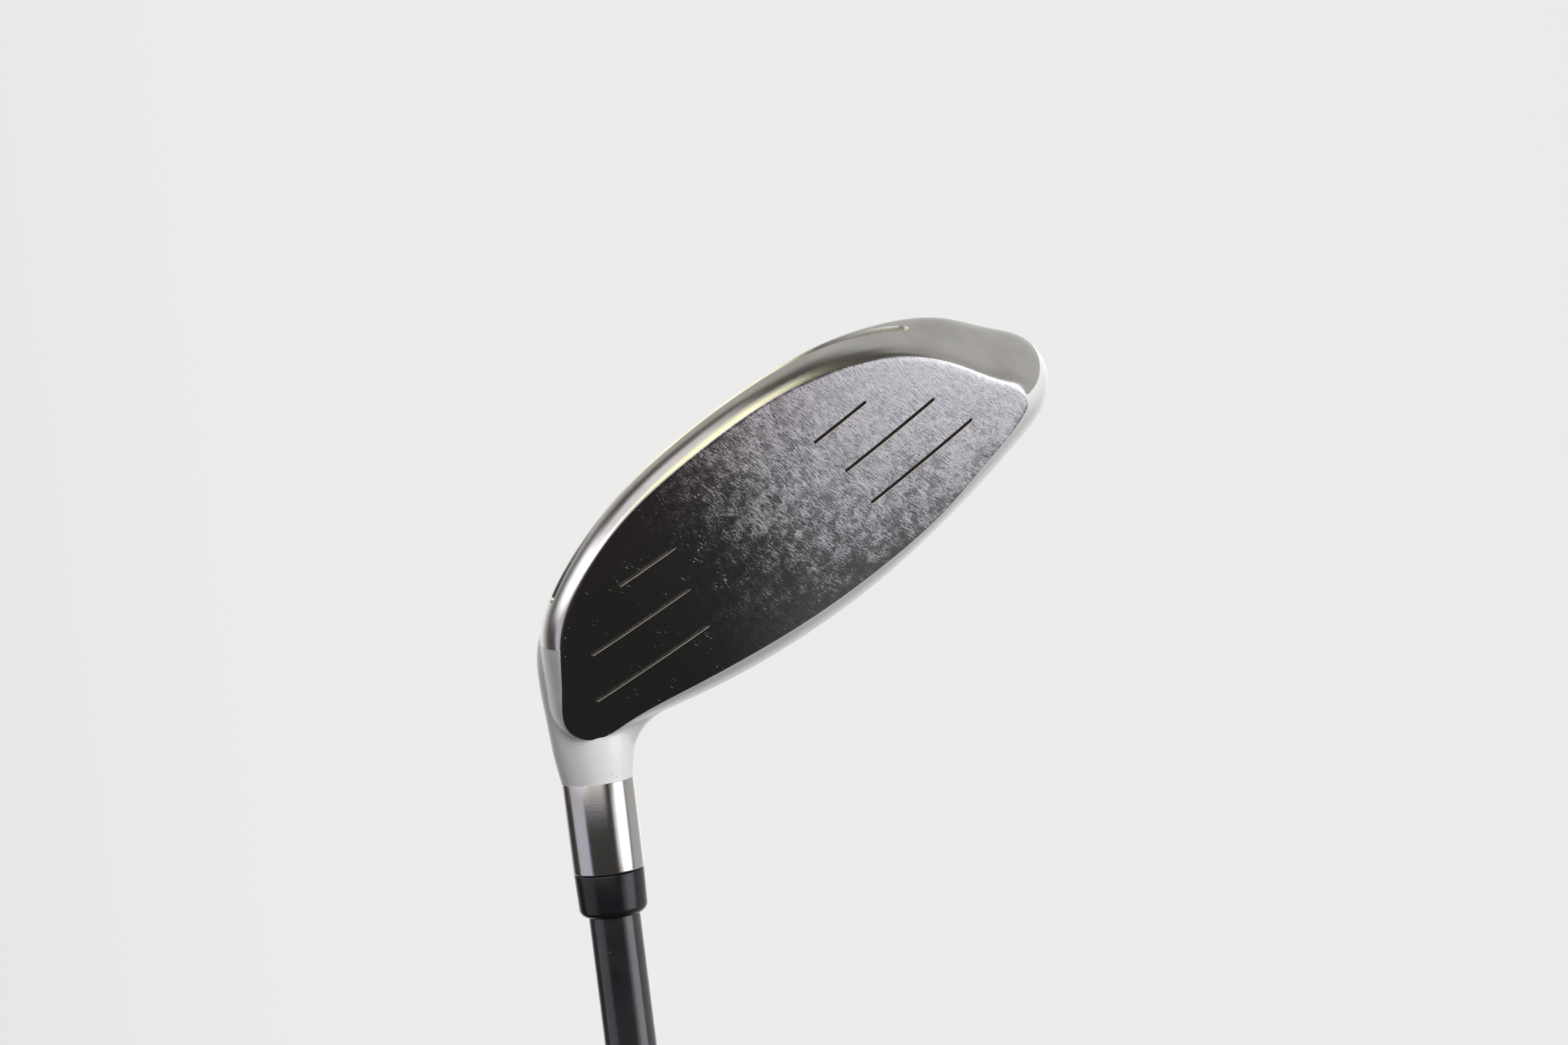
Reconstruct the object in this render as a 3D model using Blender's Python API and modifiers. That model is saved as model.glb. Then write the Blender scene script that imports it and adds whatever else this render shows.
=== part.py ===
"""A right-handed hybrid golf club, head up, shown as its separate pieces.

The shaft runs along +Z from the centre of the grip's flat butt end, the toe
points to +X and the strike face looks to -Y. The head is shaped in its own
frame, as it sits on the ground: x to the toe, y forward to the target, z up.
"""
from math import atan2, cos, hypot, pi, radians, sin

import bmesh
import bpy
import numpy as np
from mathutils import Matrix, Vector

MM = 0.001
GAP = 0.3 * MM                  # running gap between touching pieces

# Club
CLUB_LENGTH = 1.0287            # 40.5 in, butt to the point where the axis meets the ground
LIE = radians(61.0)
LOFT = radians(19.0)
FACE_TOEWARD = 33.7 * MM        # face centre from the shaft axis, towards the toe
FACE_FORWARD = 16.0 * MM        # face centre in front of the shaft axis
FACE_HEIGHT = 22.3 * MM         # face centre above the ground

# Face
FACE_BULGE = 300.0 * MM
FACE_ROLL = 300.0 * MM
FACE_MIDDLE = (2.0 * MM, 0.0)   # where the face rings shrink to
PLATE_EDGE = 1.2 * MM
PLATE_CENTRE = 2.6 * MM
RIM_WALL = 0.5 * MM             # body metal left around the plate
GROOVE_WIDTH = 0.8 * MM
GROOVE_DEPTH = 0.45 * MM
GROOVE_PITCH = 8.26 * MM
GROOVE_SPANS = ((15.2, 27.2), (17.1, 38.0), (18.0, 42.0))   # mm from the centre, sole row first

# Rim of the face in mm: place on the face (x, up the face), then how far the
# body swells outside the rim and how far behind the rim it is widest.
RIM = (
    (-48.9, 11.0, 1.2, 9.0),
    (-46.0, 3.2, 1.8, 8.5),
    (-40.6, -6.0, 2.4, 7.5),
    (-31.0, -13.6, 2.4, 6.5),
    (-17.5, -18.7, 2.6, 5.6),
    (-2.5, -20.4, 3.0, 5.5),
    (12.0, -20.0, 3.3, 5.5),
    (25.0, -16.9, 4.4, 7.0),
    (36.2, -11.2, 5.7, 10.0),
    (44.2, -2.8, 8.2, 15.0),
    (49.9, 6.0, 9.9, 18.0),
    (52.8, 11.8, 9.4, 19.0),
    (52.4, 13.8, 7.5, 19.0),
    (50.0, 15.2, 5.9, 19.0),
    (41.5, 17.0, 4.8, 18.0),
    (29.0, 19.3, 3.8, 16.0),
    (14.0, 20.2, 3.9, 14.0),
    (0.0, 19.9, 4.1, 14.0),
    (-14.0, 18.6, 4.2, 14.0),
    (-28.0, 16.7, 3.7, 14.0),
    (-40.0, 15.6, 2.4, 12.0),
    (-46.6, 14.6, 1.4, 10.0),
)
FINE = 720                      # samples of the rim that its swell is worked out on
SWELL_BLEND = 6                 # samples between the neighbours that even out the swell's direction
SWELL_PASSES = 14
TAIL = (4.0 * MM, -52.0 * MM, -1.0 * MM)
BACK_FULLNESS = 0.9             # of the crown: 1 is an ellipse, less is boxier
SOLE_FULLNESS = 1.3             # of the sole, which is cambered front to back
NOSE_SLANT = 0.30               # how far the skin leans back where it leaves the rim
SOLE_WALL = 1.5 * MM
FACE_LEDGE = 4.5 * MM           # how far the body's front frame reaches in under the plate

# Crown plate: a patch of the head's outer surface, by rim position and distance behind it
CROWN_WALL = 0.8 * MM
CROWN_FROM_TOE = 0.575
CROWN_TO_NECK = 0.885
CROWN_FRONT = 2.2 * MM
CROWN_BACK = 0.80               # share of the way from the widest ring to the tail
CROWN_LAP = 1.8 * MM
CROWN_COLUMNS = 32
CROWN_ROWS = 12
ROW_CROWDING = 1.25             # rows lie closer together toward the patch's front
CROWN_SPREAD = 1.8              # the patch narrows to the tail, and so would its side gaps
SEAT_SLACK = 0.15 * MM

# Sole slot
SLOT_FRONT = 4.9 * MM           # behind the rim
SLOT_WIDTH = 2.4 * MM
SLOT_FROM_HEEL = 0.105
SLOT_TO_TOE = 0.445
LINER_RECESS = 0.9 * MM
LINER_DEPTH = 2.4 * MM

# Neck, hosel, ferrule and shaft, measured down the shaft axis from the face centre's level
NECK = ((0.0, 11.0), (5.4, 12.2), (7.6, 15.5), (8.3, 20.0), (8.2, 25.0), (7.8, 30.0), (7.4, 36.0),
        (6.9, 39.6))            # mm: radius, distance down
HOSEL_R = 6.5 * MM
NECK_TOP = 41.8 * MM
HOSEL_END = 58.2 * MM
FERRULE_END = 66.4 * MM
FERRULE_R = 6.2 * MM
FERRULE_TOP_R = 6.35 * MM
FERRULE_EDGE = 0.2 * MM
FERRULE_ROUNDING = 1.6 * MM
SHAFT_TIP = 23.0 * MM
BORE_TOP = 18.0 * MM
TIP_R = 4.7 * MM
TIP_WALL = 1.7 * MM
TIP_STRAIGHT = 75.0 * MM
TIP_CHAMFER = 0.5 * MM
BUTT_R = 7.6 * MM
BUTT_WALL = 1.1 * MM
BUTT_STRAIGHT = 250.0 * MM
PIN_LENGTH = 20.0 * MM
PLUG_LENGTH = 3.0 * MM

# Grip
GRIP_LENGTH = 270.0 * MM
GRIP_BUTT_R = 13.4 * MM
GRIP_MOUTH_R = 9.4 * MM
GRIP_TAPER = 1.25
MOUTH_EDGE = 0.5 * MM
CAP_HEIGHT = 5.0 * MM
CAP_EDGE = 1.5 * MM
TAPE_WALL = 0.4 * MM
TAPE_SHORT = 5.0 * MM           # the tape stops this far below the shaft's taper

AROUND = 72                     # points round the head's rim
FACE_RINGS = (0.25, 0.6, 0.85)  # shares of the way from the face's middle to its rim
BODY_RINGS = (0.0, 0.12, 0.28, 0.5, 0.75, 1.0, 1.15, 1.3, 1.45, 1.6, 1.75, 1.88, 1.96)
CAVITY_AROUND = 48
CAVITY_RINGS = (0.0, 0.3, 0.65, 1.0, 1.2, 1.4, 1.6, 1.8, 1.93)
CAVITY_DEPTH = 0.6 * MM         # from the face's surface to the front of the cavity
SEAT_CLEAR = 8.0 * MM           # how far the face seat's cutter stands proud of the face
CUT_PROUD = 3.0 * MM            # and the crown's and slot's cutters of the skin
OPENING_DEPTH = 5.0 * MM
SLOT_DEPTH = 4.5 * MM
PAD_PLACE = (14.0 * MM, -22.0 * MM, -13.5 * MM)
PAD_SIZE = (9.0 * MM, 6.0 * MM, 2.2 * MM)
RIM_LENGTH = sum(hypot(a[0] - b[0], a[1] - b[1]) for a, b in zip(RIM, RIM[1:] + RIM[:1])) * MM
REAR_ARC = 60.0 * MM            # over the crown from its widest ring to the tail

U = Vector((sin(LIE), 0.0, cos(LIE)))
UP = Vector((cos(LIE), 0.0, -sin(LIE)))
FORWARD = Vector((0.0, -1.0, 0.0))
FACE_Z = CLUB_LENGTH - (FACE_HEIGHT - FACE_TOEWARD * cos(LIE)) / sin(LIE)
HEAD = Matrix((
    (U.x, FORWARD.x, UP.x, FACE_TOEWARD),
    (U.y, FORWARD.y, UP.y, -FACE_FORWARD),
    (U.z, FORWARD.z, UP.z, FACE_Z),
    (0.0, 0.0, 0.0, 1.0),
))


# ---------------------------------------------------------------- head surface

def closed_spline(rows, at):
    """Periodic cubic spline through rows, read at the fractions `at` of its length."""
    knots = np.asarray(rows, float)
    count = len(knots)
    following = np.roll(knots, -1, axis=0)
    step = np.linalg.norm((following - knots)[:, :2], axis=1)
    before = np.roll(step, 1)
    index = np.arange(count)
    system = np.zeros((count, count))
    system[index, index] = 2.0 * (before + step)
    system[index, (index - 1) % count] += before
    system[index, (index + 1) % count] += step
    slope = (following - knots) / step[:, None]
    bend = np.linalg.solve(system, 6.0 * (slope - np.roll(slope, 1, axis=0)))
    start = np.concatenate(([0.0], np.cumsum(step)))
    place = (np.asarray(at, float) % 1.0) * start[-1]
    piece = np.clip(np.searchsorted(start, place, side="right") - 1, 0, count - 1)
    b = ((place - start[piece]) / step[piece])[:, None]
    a = 1.0 - b
    h = step[piece][:, None]
    after = (piece + 1) % count
    curve = a * knots[piece] + b * knots[after]
    curve += ((a ** 3 - a) * bend[piece] + (b ** 3 - b) * bend[after]) * h * h / 6.0
    return curve


def on_face(x, up, depth=0.0):
    """Head-frame points on the bulged and rolled face, or `depth` behind it."""
    sag = -(x * x / (2.0 * FACE_BULGE) + up * up / (2.0 * FACE_ROLL)) - depth
    forward = -up * sin(LOFT) + sag * cos(LOFT)
    return np.stack([x, forward, up * cos(LOFT) + sag * sin(LOFT)], axis=-1)


def outward(loop):
    """Unit vectors square to a closed loop of 2-D points that runs anticlockwise."""
    tangent = np.roll(loop, -1, axis=0) - np.roll(loop, 1, axis=0)
    normal = np.stack([tangent[:, 1], -tangent[:, 0]], axis=1)
    return normal / np.linalg.norm(normal, axis=1)[:, None]


def rim(at, inset=0.0):
    """Rim rows in metres at the fractions `at`, moved in by `inset` over the face."""
    fine = np.arange(FINE) / FINE
    rows = closed_spline(RIM, fine) * MM
    rows[:, :2] -= outward(rows[:, :2]) * inset
    column = [np.interp(np.asarray(at) % 1.0, np.append(fine, 1.0), np.append(c, c[0])) for c in rows.T]
    return np.stack(column, axis=1)


def girdle(at, inset=0.0, depth=0.0, wall=0.0):
    """Front ring, widest ring, how far apart they are, and how boxy the back is behind them."""
    rows = rim(at, inset)
    front = on_face(rows[:, 0], rows[:, 1], depth)
    fine = rim(np.arange(FINE) / FINE, inset)
    normals = outward(on_face(fine[:, 0], fine[:, 1], depth)[:, ::2])
    for _ in range(SWELL_PASSES):
        beside = np.roll(normals, SWELL_BLEND, axis=0) + np.roll(normals, -SWELL_BLEND, axis=0)
        normals = normals / 2.0 + beside / 4.0
    normals /= np.linalg.norm(normals, axis=1)[:, None]
    turn = (np.asarray(at) % 1.0) * FINE
    low = np.floor(turn).astype(int)
    part = (turn - low)[:, None]
    side = normals[low % FINE] * (1.0 - part) + normals[(low + 1) % FINE] * part
    wide = front.copy()
    wide[:, ::2] += side * (rows[:, 2] + inset - wall)[:, None]
    wide[:, 1] -= rows[:, 3]
    sole_share = np.clip(-side[:, 1], 0.0, 1.0) ** 2
    return front, wide, rows[:, 3], BACK_FULLNESS + (SOLE_FULLNESS - BACK_FULLNESS) * sole_share


def lean_back(nose):
    """Share of the reach covered at each angle of the nose profile."""
    return (1.0 - NOSE_SLANT) * (1.0 - np.cos(nose)) + NOSE_SLANT * np.sin(nose)


def skin(at, back, inset=0.0, depth=0.0, wall=0.0):
    """Points of the head's skin. `back` is 0 at the rim, 1 at the widest ring, 2 at the tail."""
    front, wide, reach, full = girdle(at, inset, depth, wall)
    tail = np.array(TAIL) + np.array((0.0, wall, 0.0))
    back = np.broadcast_to(np.asarray(back, float), reach.shape)
    nose = np.clip(back, 0.0, 1.0) * pi / 2.0
    rear = np.clip(back - 1.0, 0.0, 1.0) * pi / 2.0
    points = front + (wide - front) * np.sin(nose)[:, None]
    points[:, 1] = front[:, 1] - reach * lean_back(nose)
    keep = np.cos(rear) ** full
    drop = np.sin(rear) ** full
    behind = tail + (wide - tail) * keep[:, None]
    behind[:, 1] = wide[:, 1] + (tail[1] - wide[:, 1]) * drop
    return np.where((back > 1.0)[:, None], behind, points)


def back_at(at, distance):
    """The skin's `back` value a given distance behind the rim, at each fraction."""
    _, wide, reach, full = girdle(at)
    length = hypot(NOSE_SLANT, 1.0 - NOSE_SLANT)
    lead = atan2(1.0 - NOSE_SLANT, NOSE_SLANT)
    covered = np.clip(distance / reach, 0.0, 1.0) - (1.0 - NOSE_SLANT)
    nose = (lead + np.arcsin(covered / length)) / (pi / 2.0)
    share = np.clip((distance - reach) / (wide[:, 1] - TAIL[1]), 0.0, 1.0)
    rear = 1.0 + np.arcsin(share ** (1.0 / full)) / (pi / 2.0)
    return np.where(distance > reach, rear, nose)


def slab(name, at, back_rows, top, bottom):
    """Closed plate over a patch of the skin, from `top` outside it to `bottom` inside it."""
    small = 1e-3
    sheets = []
    for back in back_rows:
        here = skin(at, back)
        along = skin(at + small, back) - skin(at - small, back)
        away = skin(at, back + small) - skin(at, back - small)
        normal = np.cross(along, away)
        normal /= np.linalg.norm(normal, axis=1)[:, None]
        sheets.append((here, normal))
    points = np.array([s[0] for s in sheets])
    normals = np.array([s[1] for s in sheets])
    middle = points.reshape(-1, 3).mean(axis=0)
    inside = np.array(TAIL) * 0.5
    if np.dot(normals.reshape(-1, 3).mean(axis=0), middle - inside) < 0.0:
        normals = -normals
    outer = points + normals * top
    inner = points - normals * bottom
    rows, columns = points.shape[:2]
    loops = []
    for r in range(rows):
        loops.append(np.concatenate([outer[r], inner[r][::-1]]))
    return ring_solid(name, loops, fan=False)


# ---------------------------------------------------------------- object helpers

def collection(name):
    made = bpy.data.collections.new(name)
    bpy.context.scene.collection.children.link(made)
    return made


def finish_mesh(name, work, group, matrix=None):
    bmesh.ops.recalc_face_normals(work, faces=work.faces)
    mesh = bpy.data.meshes.new(name)
    work.to_mesh(mesh)
    work.free()
    made = bpy.data.objects.new(name, mesh)
    group.objects.link(made)
    if matrix is not None:
        made.matrix_world = matrix
    return made


def ring_solid(name, loops, fan=True, first=None, last=None, group=None):
    """Closed solid through loops of equal length, capped flat or by a fan to a point."""
    work = bmesh.new()
    rings = [[work.verts.new(p) for p in loop] for loop in loops]
    for low, high in zip(rings, rings[1:]):
        for i, corner in enumerate(low):
            j = (i + 1) % len(low)
            work.faces.new((corner, low[j], high[j], high[i]))
    for ring, tip in ((rings[0], first), (rings[-1], last)):
        if fan:
            top = work.verts.new(tip)
            for i, corner in enumerate(ring):
                work.faces.new((corner, ring[(i + 1) % len(ring)], top))
        else:
            half = len(ring) // 2
            for i in range(half - 1):
                work.faces.new((ring[i], ring[i + 1], ring[-i - 2], ring[-i - 1]))
    return finish_mesh(name, work, group or CUTTERS, HEAD)


def turned(name, profile, group, segments=32):
    """Solid turned about the shaft axis from (radius, z) points, top to bottom down its outside."""
    mesh = bpy.data.meshes.new(name)
    points = [(r, 0.0, z) for r, z in profile]
    edges = [(i, i + 1) for i in range(len(points) - 1)]
    if profile[0][0] > 0.0 and profile[-1][0] > 0.0:
        edges.append((len(points) - 1, 0))
    mesh.from_pydata(points, edges, [])
    made = bpy.data.objects.new(name, mesh)
    group.objects.link(made)
    screw = made.modifiers.new("Screw", "SCREW")
    screw.axis = "Z"
    screw.steps = segments
    screw.render_steps = segments
    screw.use_merge_vertices = True
    screw.merge_threshold = 0.00001
    return made


def rounded_end(radius, low, rounding):
    """Profile points of a quarter round that ends a turned piece at its lower edge."""
    turns = [pi / 8 * step for step in range(5)]
    return [(radius - rounding + rounding * cos(a), low + rounding - rounding * sin(a)) for a in turns]


def boolean(target, cutter, operation="DIFFERENCE"):
    cutter.hide_render = True
    cutter.display_type = "WIRE"
    cut = target.modifiers.new(cutter.name, "BOOLEAN")
    cut.operation = operation
    cut.object = cutter
    cut.solver = "EXACT"


def dress(made, label, colour, metallic, roughness):
    made.data.materials.append(material(label, colour, metallic, roughness))
    made.data.shade_smooth()
    made.data.set_sharp_from_angle(angle=radians(30.0))


def material(label, colour, metallic, roughness):
    if label in bpy.data.materials:
        return bpy.data.materials[label]
    made = bpy.data.materials.new(label)
    made.use_nodes = True
    shader = made.node_tree.nodes["Principled BSDF"]
    shader.inputs["Base Color"].default_value = (*colour, 1.0)
    shader.inputs["Metallic"].default_value = metallic
    shader.inputs["Roughness"].default_value = roughness
    return made


def down(distance):
    """Height of a point this far down the shaft axis from the face centre's level."""
    return FACE_Z - distance


# ---------------------------------------------------------------- head

def outer_skin():
    at = np.arange(AROUND) / AROUND
    rows = rim(at)
    loops = []
    for share in FACE_RINGS:
        x = FACE_MIDDLE[0] + (rows[:, 0] - FACE_MIDDLE[0]) * share
        up = FACE_MIDDLE[1] + (rows[:, 1] - FACE_MIDDLE[1]) * share
        loops.append(on_face(x, up))
    for back in BODY_RINGS:
        loops.append(skin(at, back))
    middle = on_face(np.array([FACE_MIDDLE[0]]), np.array([FACE_MIDDLE[1]]))[0]
    return ring_solid("head_body", loops, first=middle, last=TAIL, group=CLUB)


def cavity():
    at = np.arange(CAVITY_AROUND) / CAVITY_AROUND
    loops = [skin(at, back, FACE_LEDGE, CAVITY_DEPTH, SOLE_WALL) for back in CAVITY_RINGS]
    front = loops[0].mean(axis=0)
    tail = (TAIL[0], TAIL[1] + SOLE_WALL, TAIL[2])
    return ring_solid("cut_cavity", loops, first=front, last=tail)


def plate_loops(inset, front_depth, extra):
    """Face plate loops: in from the rim on the front, then out again on the back."""
    rows = rim(np.arange(AROUND) / AROUND, inset)
    shares = (0.3, 0.7, 1.0)
    loops = []
    for side, order in ((0, shares), (1, shares[::-1])):
        for share in order:
            x = FACE_MIDDLE[0] + (rows[:, 0] - FACE_MIDDLE[0]) * share
            up = FACE_MIDDLE[1] + (rows[:, 1] - FACE_MIDDLE[1]) * share
            thick = PLATE_EDGE + (PLATE_CENTRE - PLATE_EDGE) * (1.0 - share ** 2) + extra
            loops.append(on_face(x, up, thick if side else front_depth))
    middle = np.array([FACE_MIDDLE[0]]), np.array([FACE_MIDDLE[1]])
    first = on_face(*middle, front_depth)[0]
    last = on_face(*middle, PLATE_CENTRE + extra)[0]
    return loops, first, last


def neck():
    """Hosel band and the neck that swells from it into the heel, with a domed inner end."""
    profile = [(r * MM, down(z * MM)) for r, z in NECK]
    profile += [(HOSEL_R, down(NECK_TOP)), (HOSEL_R, down(HOSEL_END)), (0.0, down(HOSEL_END))]
    return turned("join_neck", profile, CUTTERS, 40)


def build_head():
    body = outer_skin()
    boolean(body, cavity())
    boolean(body, neck(), "UNION")
    loops, first, last = plate_loops(RIM_WALL, -SEAT_CLEAR, GAP)
    boolean(body, ring_solid("cut_face_seat", loops, first=first, last=last))
    bore_r = TIP_R + GAP
    bore = [(0.0, down(BORE_TOP)), (bore_r, down(BORE_TOP)), (bore_r, down(HOSEL_END) - MM),
            (0.0, down(HOSEL_END) - MM)]
    boolean(body, turned("cut_bore", bore, CUTTERS))
    cut_crown_seat(body)
    cut_slot(body)
    dress(body, "satin_steel", (0.55, 0.54, 0.52), 1.0, 0.3)


def crown_rows(margin):
    """Rim fractions and back values of the crown patch, grown by `margin` on every side."""
    spread = margin * CROWN_SPREAD / RIM_LENGTH
    at = np.linspace(CROWN_FROM_TOE - spread, CROWN_TO_NECK + spread, CROWN_COLUMNS)
    front = back_at(at, CROWN_FRONT - margin)
    behind = 1.0 + CROWN_BACK + margin / REAR_ARC
    shares = np.linspace(0.0, 1.0, CROWN_ROWS) ** ROW_CROWDING
    return at, [front + (behind - front) * share for share in shares]


def cut_crown_seat(body):
    at, rows = crown_rows(GAP)
    boolean(body, slab("cut_crown_seat", at, rows, CUT_PROUD, CROWN_WALL + GAP + SEAT_SLACK))
    at, rows = crown_rows(-CROWN_LAP)
    boolean(body, slab("cut_crown_opening", at, rows, CUT_PROUD, OPENING_DEPTH))


def build_crown():
    at, rows = crown_rows(0.0)
    crown = slab("crown_shell", at, rows, 0.0, CROWN_WALL)
    to_club(crown)
    dress(crown, "white_paint", (0.86, 0.86, 0.85), 0.0, 0.45)


def slot_rows(margin):
    spread = margin / RIM_LENGTH
    at = np.linspace(SLOT_FROM_HEEL + spread, SLOT_TO_TOE - spread, 25)
    near = back_at(at, SLOT_FRONT + margin)
    far = back_at(at, SLOT_FRONT + SLOT_WIDTH - margin)
    return at, [near, (near + far) / 2.0, far]


def cut_slot(body):
    at, rows = slot_rows(0.0)
    boolean(body, slab("cut_slot", at, rows, CUT_PROUD, SLOT_DEPTH))


def build_slot_liner():
    at, rows = slot_rows(GAP)
    liner = slab("slot_liner", at, rows, -LINER_RECESS, LINER_DEPTH)
    to_club(liner)
    dress(liner, "slot_polymer", (0.45, 0.42, 0.10), 0.0, 0.4)


def build_face():
    loops, first, last = plate_loops(RIM_WALL + GAP, 0.0, 0.0)
    plate = ring_solid("face_plate", loops, first=first, last=last, group=CLUB)
    for row, span in enumerate(GROOVE_SPANS):
        for side in (-1, 1):
            boolean(plate, groove_cutter(row, side, span))
    dress(plate, "face_steel", (0.42, 0.41, 0.40), 1.0, 0.2)


def groove_cutter(row, side, span):
    """Box that sinks one score line, set square to the bulged face at the line's middle."""
    x = side * (span[0] + span[1]) / 2.0 * MM
    up = (row - 1) * GROOVE_PITCH
    centre = Vector(on_face(np.array([x]), np.array([up]))[0])
    lean = x / FACE_BULGE
    along = Vector((cos(lean), -sin(lean) * cos(LOFT), -sin(lean) * sin(LOFT)))
    climb = Vector((0.0, -sin(LOFT), cos(LOFT)))
    out = along.cross(climb) * -1.0
    frame = Matrix((along, out, climb)).transposed().to_4x4()
    frame.translation = centre
    name = "cut_groove_%d%s" % (row + 1, "heel" if side < 0 else "toe")
    work = bmesh.new()
    bmesh.ops.create_cube(work, size=1.0)
    size = ((span[1] - span[0]) * MM, 2.0 * GROOVE_DEPTH, GROOVE_WIDTH)
    bmesh.ops.scale(work, vec=size, verts=work.verts)
    return finish_mesh(name, work, CUTTERS, HEAD @ frame)


def to_club(made):
    CUTTERS.objects.unlink(made)
    CLUB.objects.link(made)


def build_glue_pad():
    """Pad of tacky hot-melt glue that holds loose grit, stuck inside the sole."""
    work = bmesh.new()
    bmesh.ops.create_uvsphere(work, u_segments=20, v_segments=10, radius=1.0)
    bmesh.ops.scale(work, vec=PAD_SIZE, verts=work.verts)
    place = HEAD @ Matrix.Translation(PAD_PLACE)
    pad = finish_mesh("glue_pad", work, CLUB, place)
    dress(pad, "hot_melt", (0.75, 0.68, 0.45), 0.0, 0.5)


# ---------------------------------------------------------------- shaft and ferrule

def shaft_radius(z):
    """Outer radius of the shaft: straight tip and butt with an even taper between."""
    tip = down(SHAFT_TIP) - TIP_STRAIGHT
    share = min(max((tip - z) / (tip - BUTT_STRAIGHT), 0.0), 1.0)
    return TIP_R + (BUTT_R - TIP_R) * share


def build_shaft():
    top = down(SHAFT_TIP)
    bottom = CAP_HEIGHT + GAP
    straight = top - TIP_STRAIGHT
    inner_tip = TIP_R - TIP_WALL
    inner_butt = BUTT_R - BUTT_WALL
    profile = [(inner_tip, top), (TIP_R - TIP_CHAMFER, top), (TIP_R, top - TIP_CHAMFER), (TIP_R, straight),
               (BUTT_R, BUTT_STRAIGHT), (BUTT_R, bottom), (inner_butt, bottom),
               (inner_butt, BUTT_STRAIGHT), (inner_tip, straight)]
    shaft = turned("shaft", profile, CLUB, 40)
    dress(shaft, "graphite_black", (0.012, 0.012, 0.013), 0.0, 0.18)
    pin_r = inner_tip - GAP
    pin = turned("tip_pin", [(0.0, top - MM), (pin_r, top - MM), (pin_r, top - PIN_LENGTH),
                             (0.0, top - PIN_LENGTH)], CLUB, 24)
    dress(pin, "brass", (0.62, 0.45, 0.18), 1.0, 0.35)
    low = top + GAP
    plug = turned("bore_plug", [(0.0, low + PLUG_LENGTH), (TIP_R, low + PLUG_LENGTH), (TIP_R, low),
                                (0.0, low)], CLUB, 24)
    dress(plug, "cork", (0.45, 0.32, 0.20), 0.0, 0.8)


def build_ferrule():
    top = down(HOSEL_END) - GAP
    low = down(FERRULE_END)
    inner = TIP_R + GAP
    profile = [(inner, top), (FERRULE_TOP_R - FERRULE_EDGE, top),
               (FERRULE_TOP_R, top - FERRULE_EDGE)]
    profile += rounded_end(FERRULE_R, low, FERRULE_ROUNDING)
    ferrule = turned("ferrule", profile + [(inner, low)], CLUB, 40)
    dress(ferrule, "ferrule_black", (0.012, 0.012, 0.014), 0.0, 0.25)


# ---------------------------------------------------------------- grip

def build_grip():
    bottom = CAP_HEIGHT + GAP
    mouth = GRIP_LENGTH
    tape_in = BUTT_R + GAP
    tape_out = tape_in + TAPE_WALL
    bore = tape_out + GAP
    tape_top = BUTT_STRAIGHT - TAPE_SHORT
    tape = turned("grip_tape", [(tape_in, tape_top), (tape_out, tape_top), (tape_out, bottom),
                                (tape_in, bottom)], CLUB, 32)
    dress(tape, "tape", (0.70, 0.66, 0.55), 0.0, 0.8)
    rows = [(bore, mouth)]
    for share in (0.0, 0.015, 0.25, 0.5, 0.75, 0.97, 1.0):
        z = mouth - (mouth - bottom) * share
        radius = GRIP_MOUTH_R + (GRIP_BUTT_R - GRIP_MOUTH_R) * share ** GRIP_TAPER
        if share == 0.0:
            radius -= MOUTH_EDGE
        rows.append((radius, z))
    sleeve = turned("grip_sleeve", rows + [(bore, bottom)], CLUB, 48)
    dress(sleeve, "grip_rubber", (0.020, 0.020, 0.021), 0.0, 0.75)
    cap = [(0.0, CAP_HEIGHT), (GRIP_BUTT_R, CAP_HEIGHT)]
    cap += rounded_end(GRIP_BUTT_R, 0.0, CAP_EDGE)
    cap.append((0.0, 0.0))
    dress(turned("grip_cap", cap, CLUB, 48), "cap_rubber", (0.022, 0.022, 0.023), 0.0, 0.7)


for old in list(bpy.data.objects):
    bpy.data.objects.remove(old, do_unlink=True)
CLUB = collection("hybrid_golf_club")
CUTTERS = collection("cutters")
build_head()
build_crown()
build_face()
build_slot_liner()
build_glue_pad()
build_shaft()
build_ferrule()
build_grip()
bpy.context.view_layer.update()
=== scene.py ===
"""Looks for a hybrid golf club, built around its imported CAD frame.

Everything is in metres in the row frame: the shaft runs up +Z from the grip's
butt, the toe points to +X and the strike face looks to -Y. The head is shaped
in its own frame: x to the toe, y forward to the target, z up off the ground.
"""
from math import atan2, cos, hypot, pi, radians, sin

import bmesh
import bpy
import numpy as np
from mathutils import Matrix, Vector
from mathutils.bvhtree import BVHTree
from mathutils.kdtree import KDTree


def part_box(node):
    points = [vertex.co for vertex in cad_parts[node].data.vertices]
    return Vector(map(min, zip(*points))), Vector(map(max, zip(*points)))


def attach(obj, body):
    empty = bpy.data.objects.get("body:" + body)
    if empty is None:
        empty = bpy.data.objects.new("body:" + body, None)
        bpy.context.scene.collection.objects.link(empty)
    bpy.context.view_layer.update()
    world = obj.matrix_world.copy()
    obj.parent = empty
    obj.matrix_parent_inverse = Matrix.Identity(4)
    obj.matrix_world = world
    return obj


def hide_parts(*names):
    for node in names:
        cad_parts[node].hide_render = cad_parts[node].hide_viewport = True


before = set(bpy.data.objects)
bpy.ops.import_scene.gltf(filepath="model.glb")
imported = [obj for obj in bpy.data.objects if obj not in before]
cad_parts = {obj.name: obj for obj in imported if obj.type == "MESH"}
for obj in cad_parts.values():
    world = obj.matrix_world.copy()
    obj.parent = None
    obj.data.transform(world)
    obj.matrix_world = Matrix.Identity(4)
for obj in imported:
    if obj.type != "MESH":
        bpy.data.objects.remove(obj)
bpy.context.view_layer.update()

MM = 0.001

# ---- sizes shared with the CAD

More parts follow.
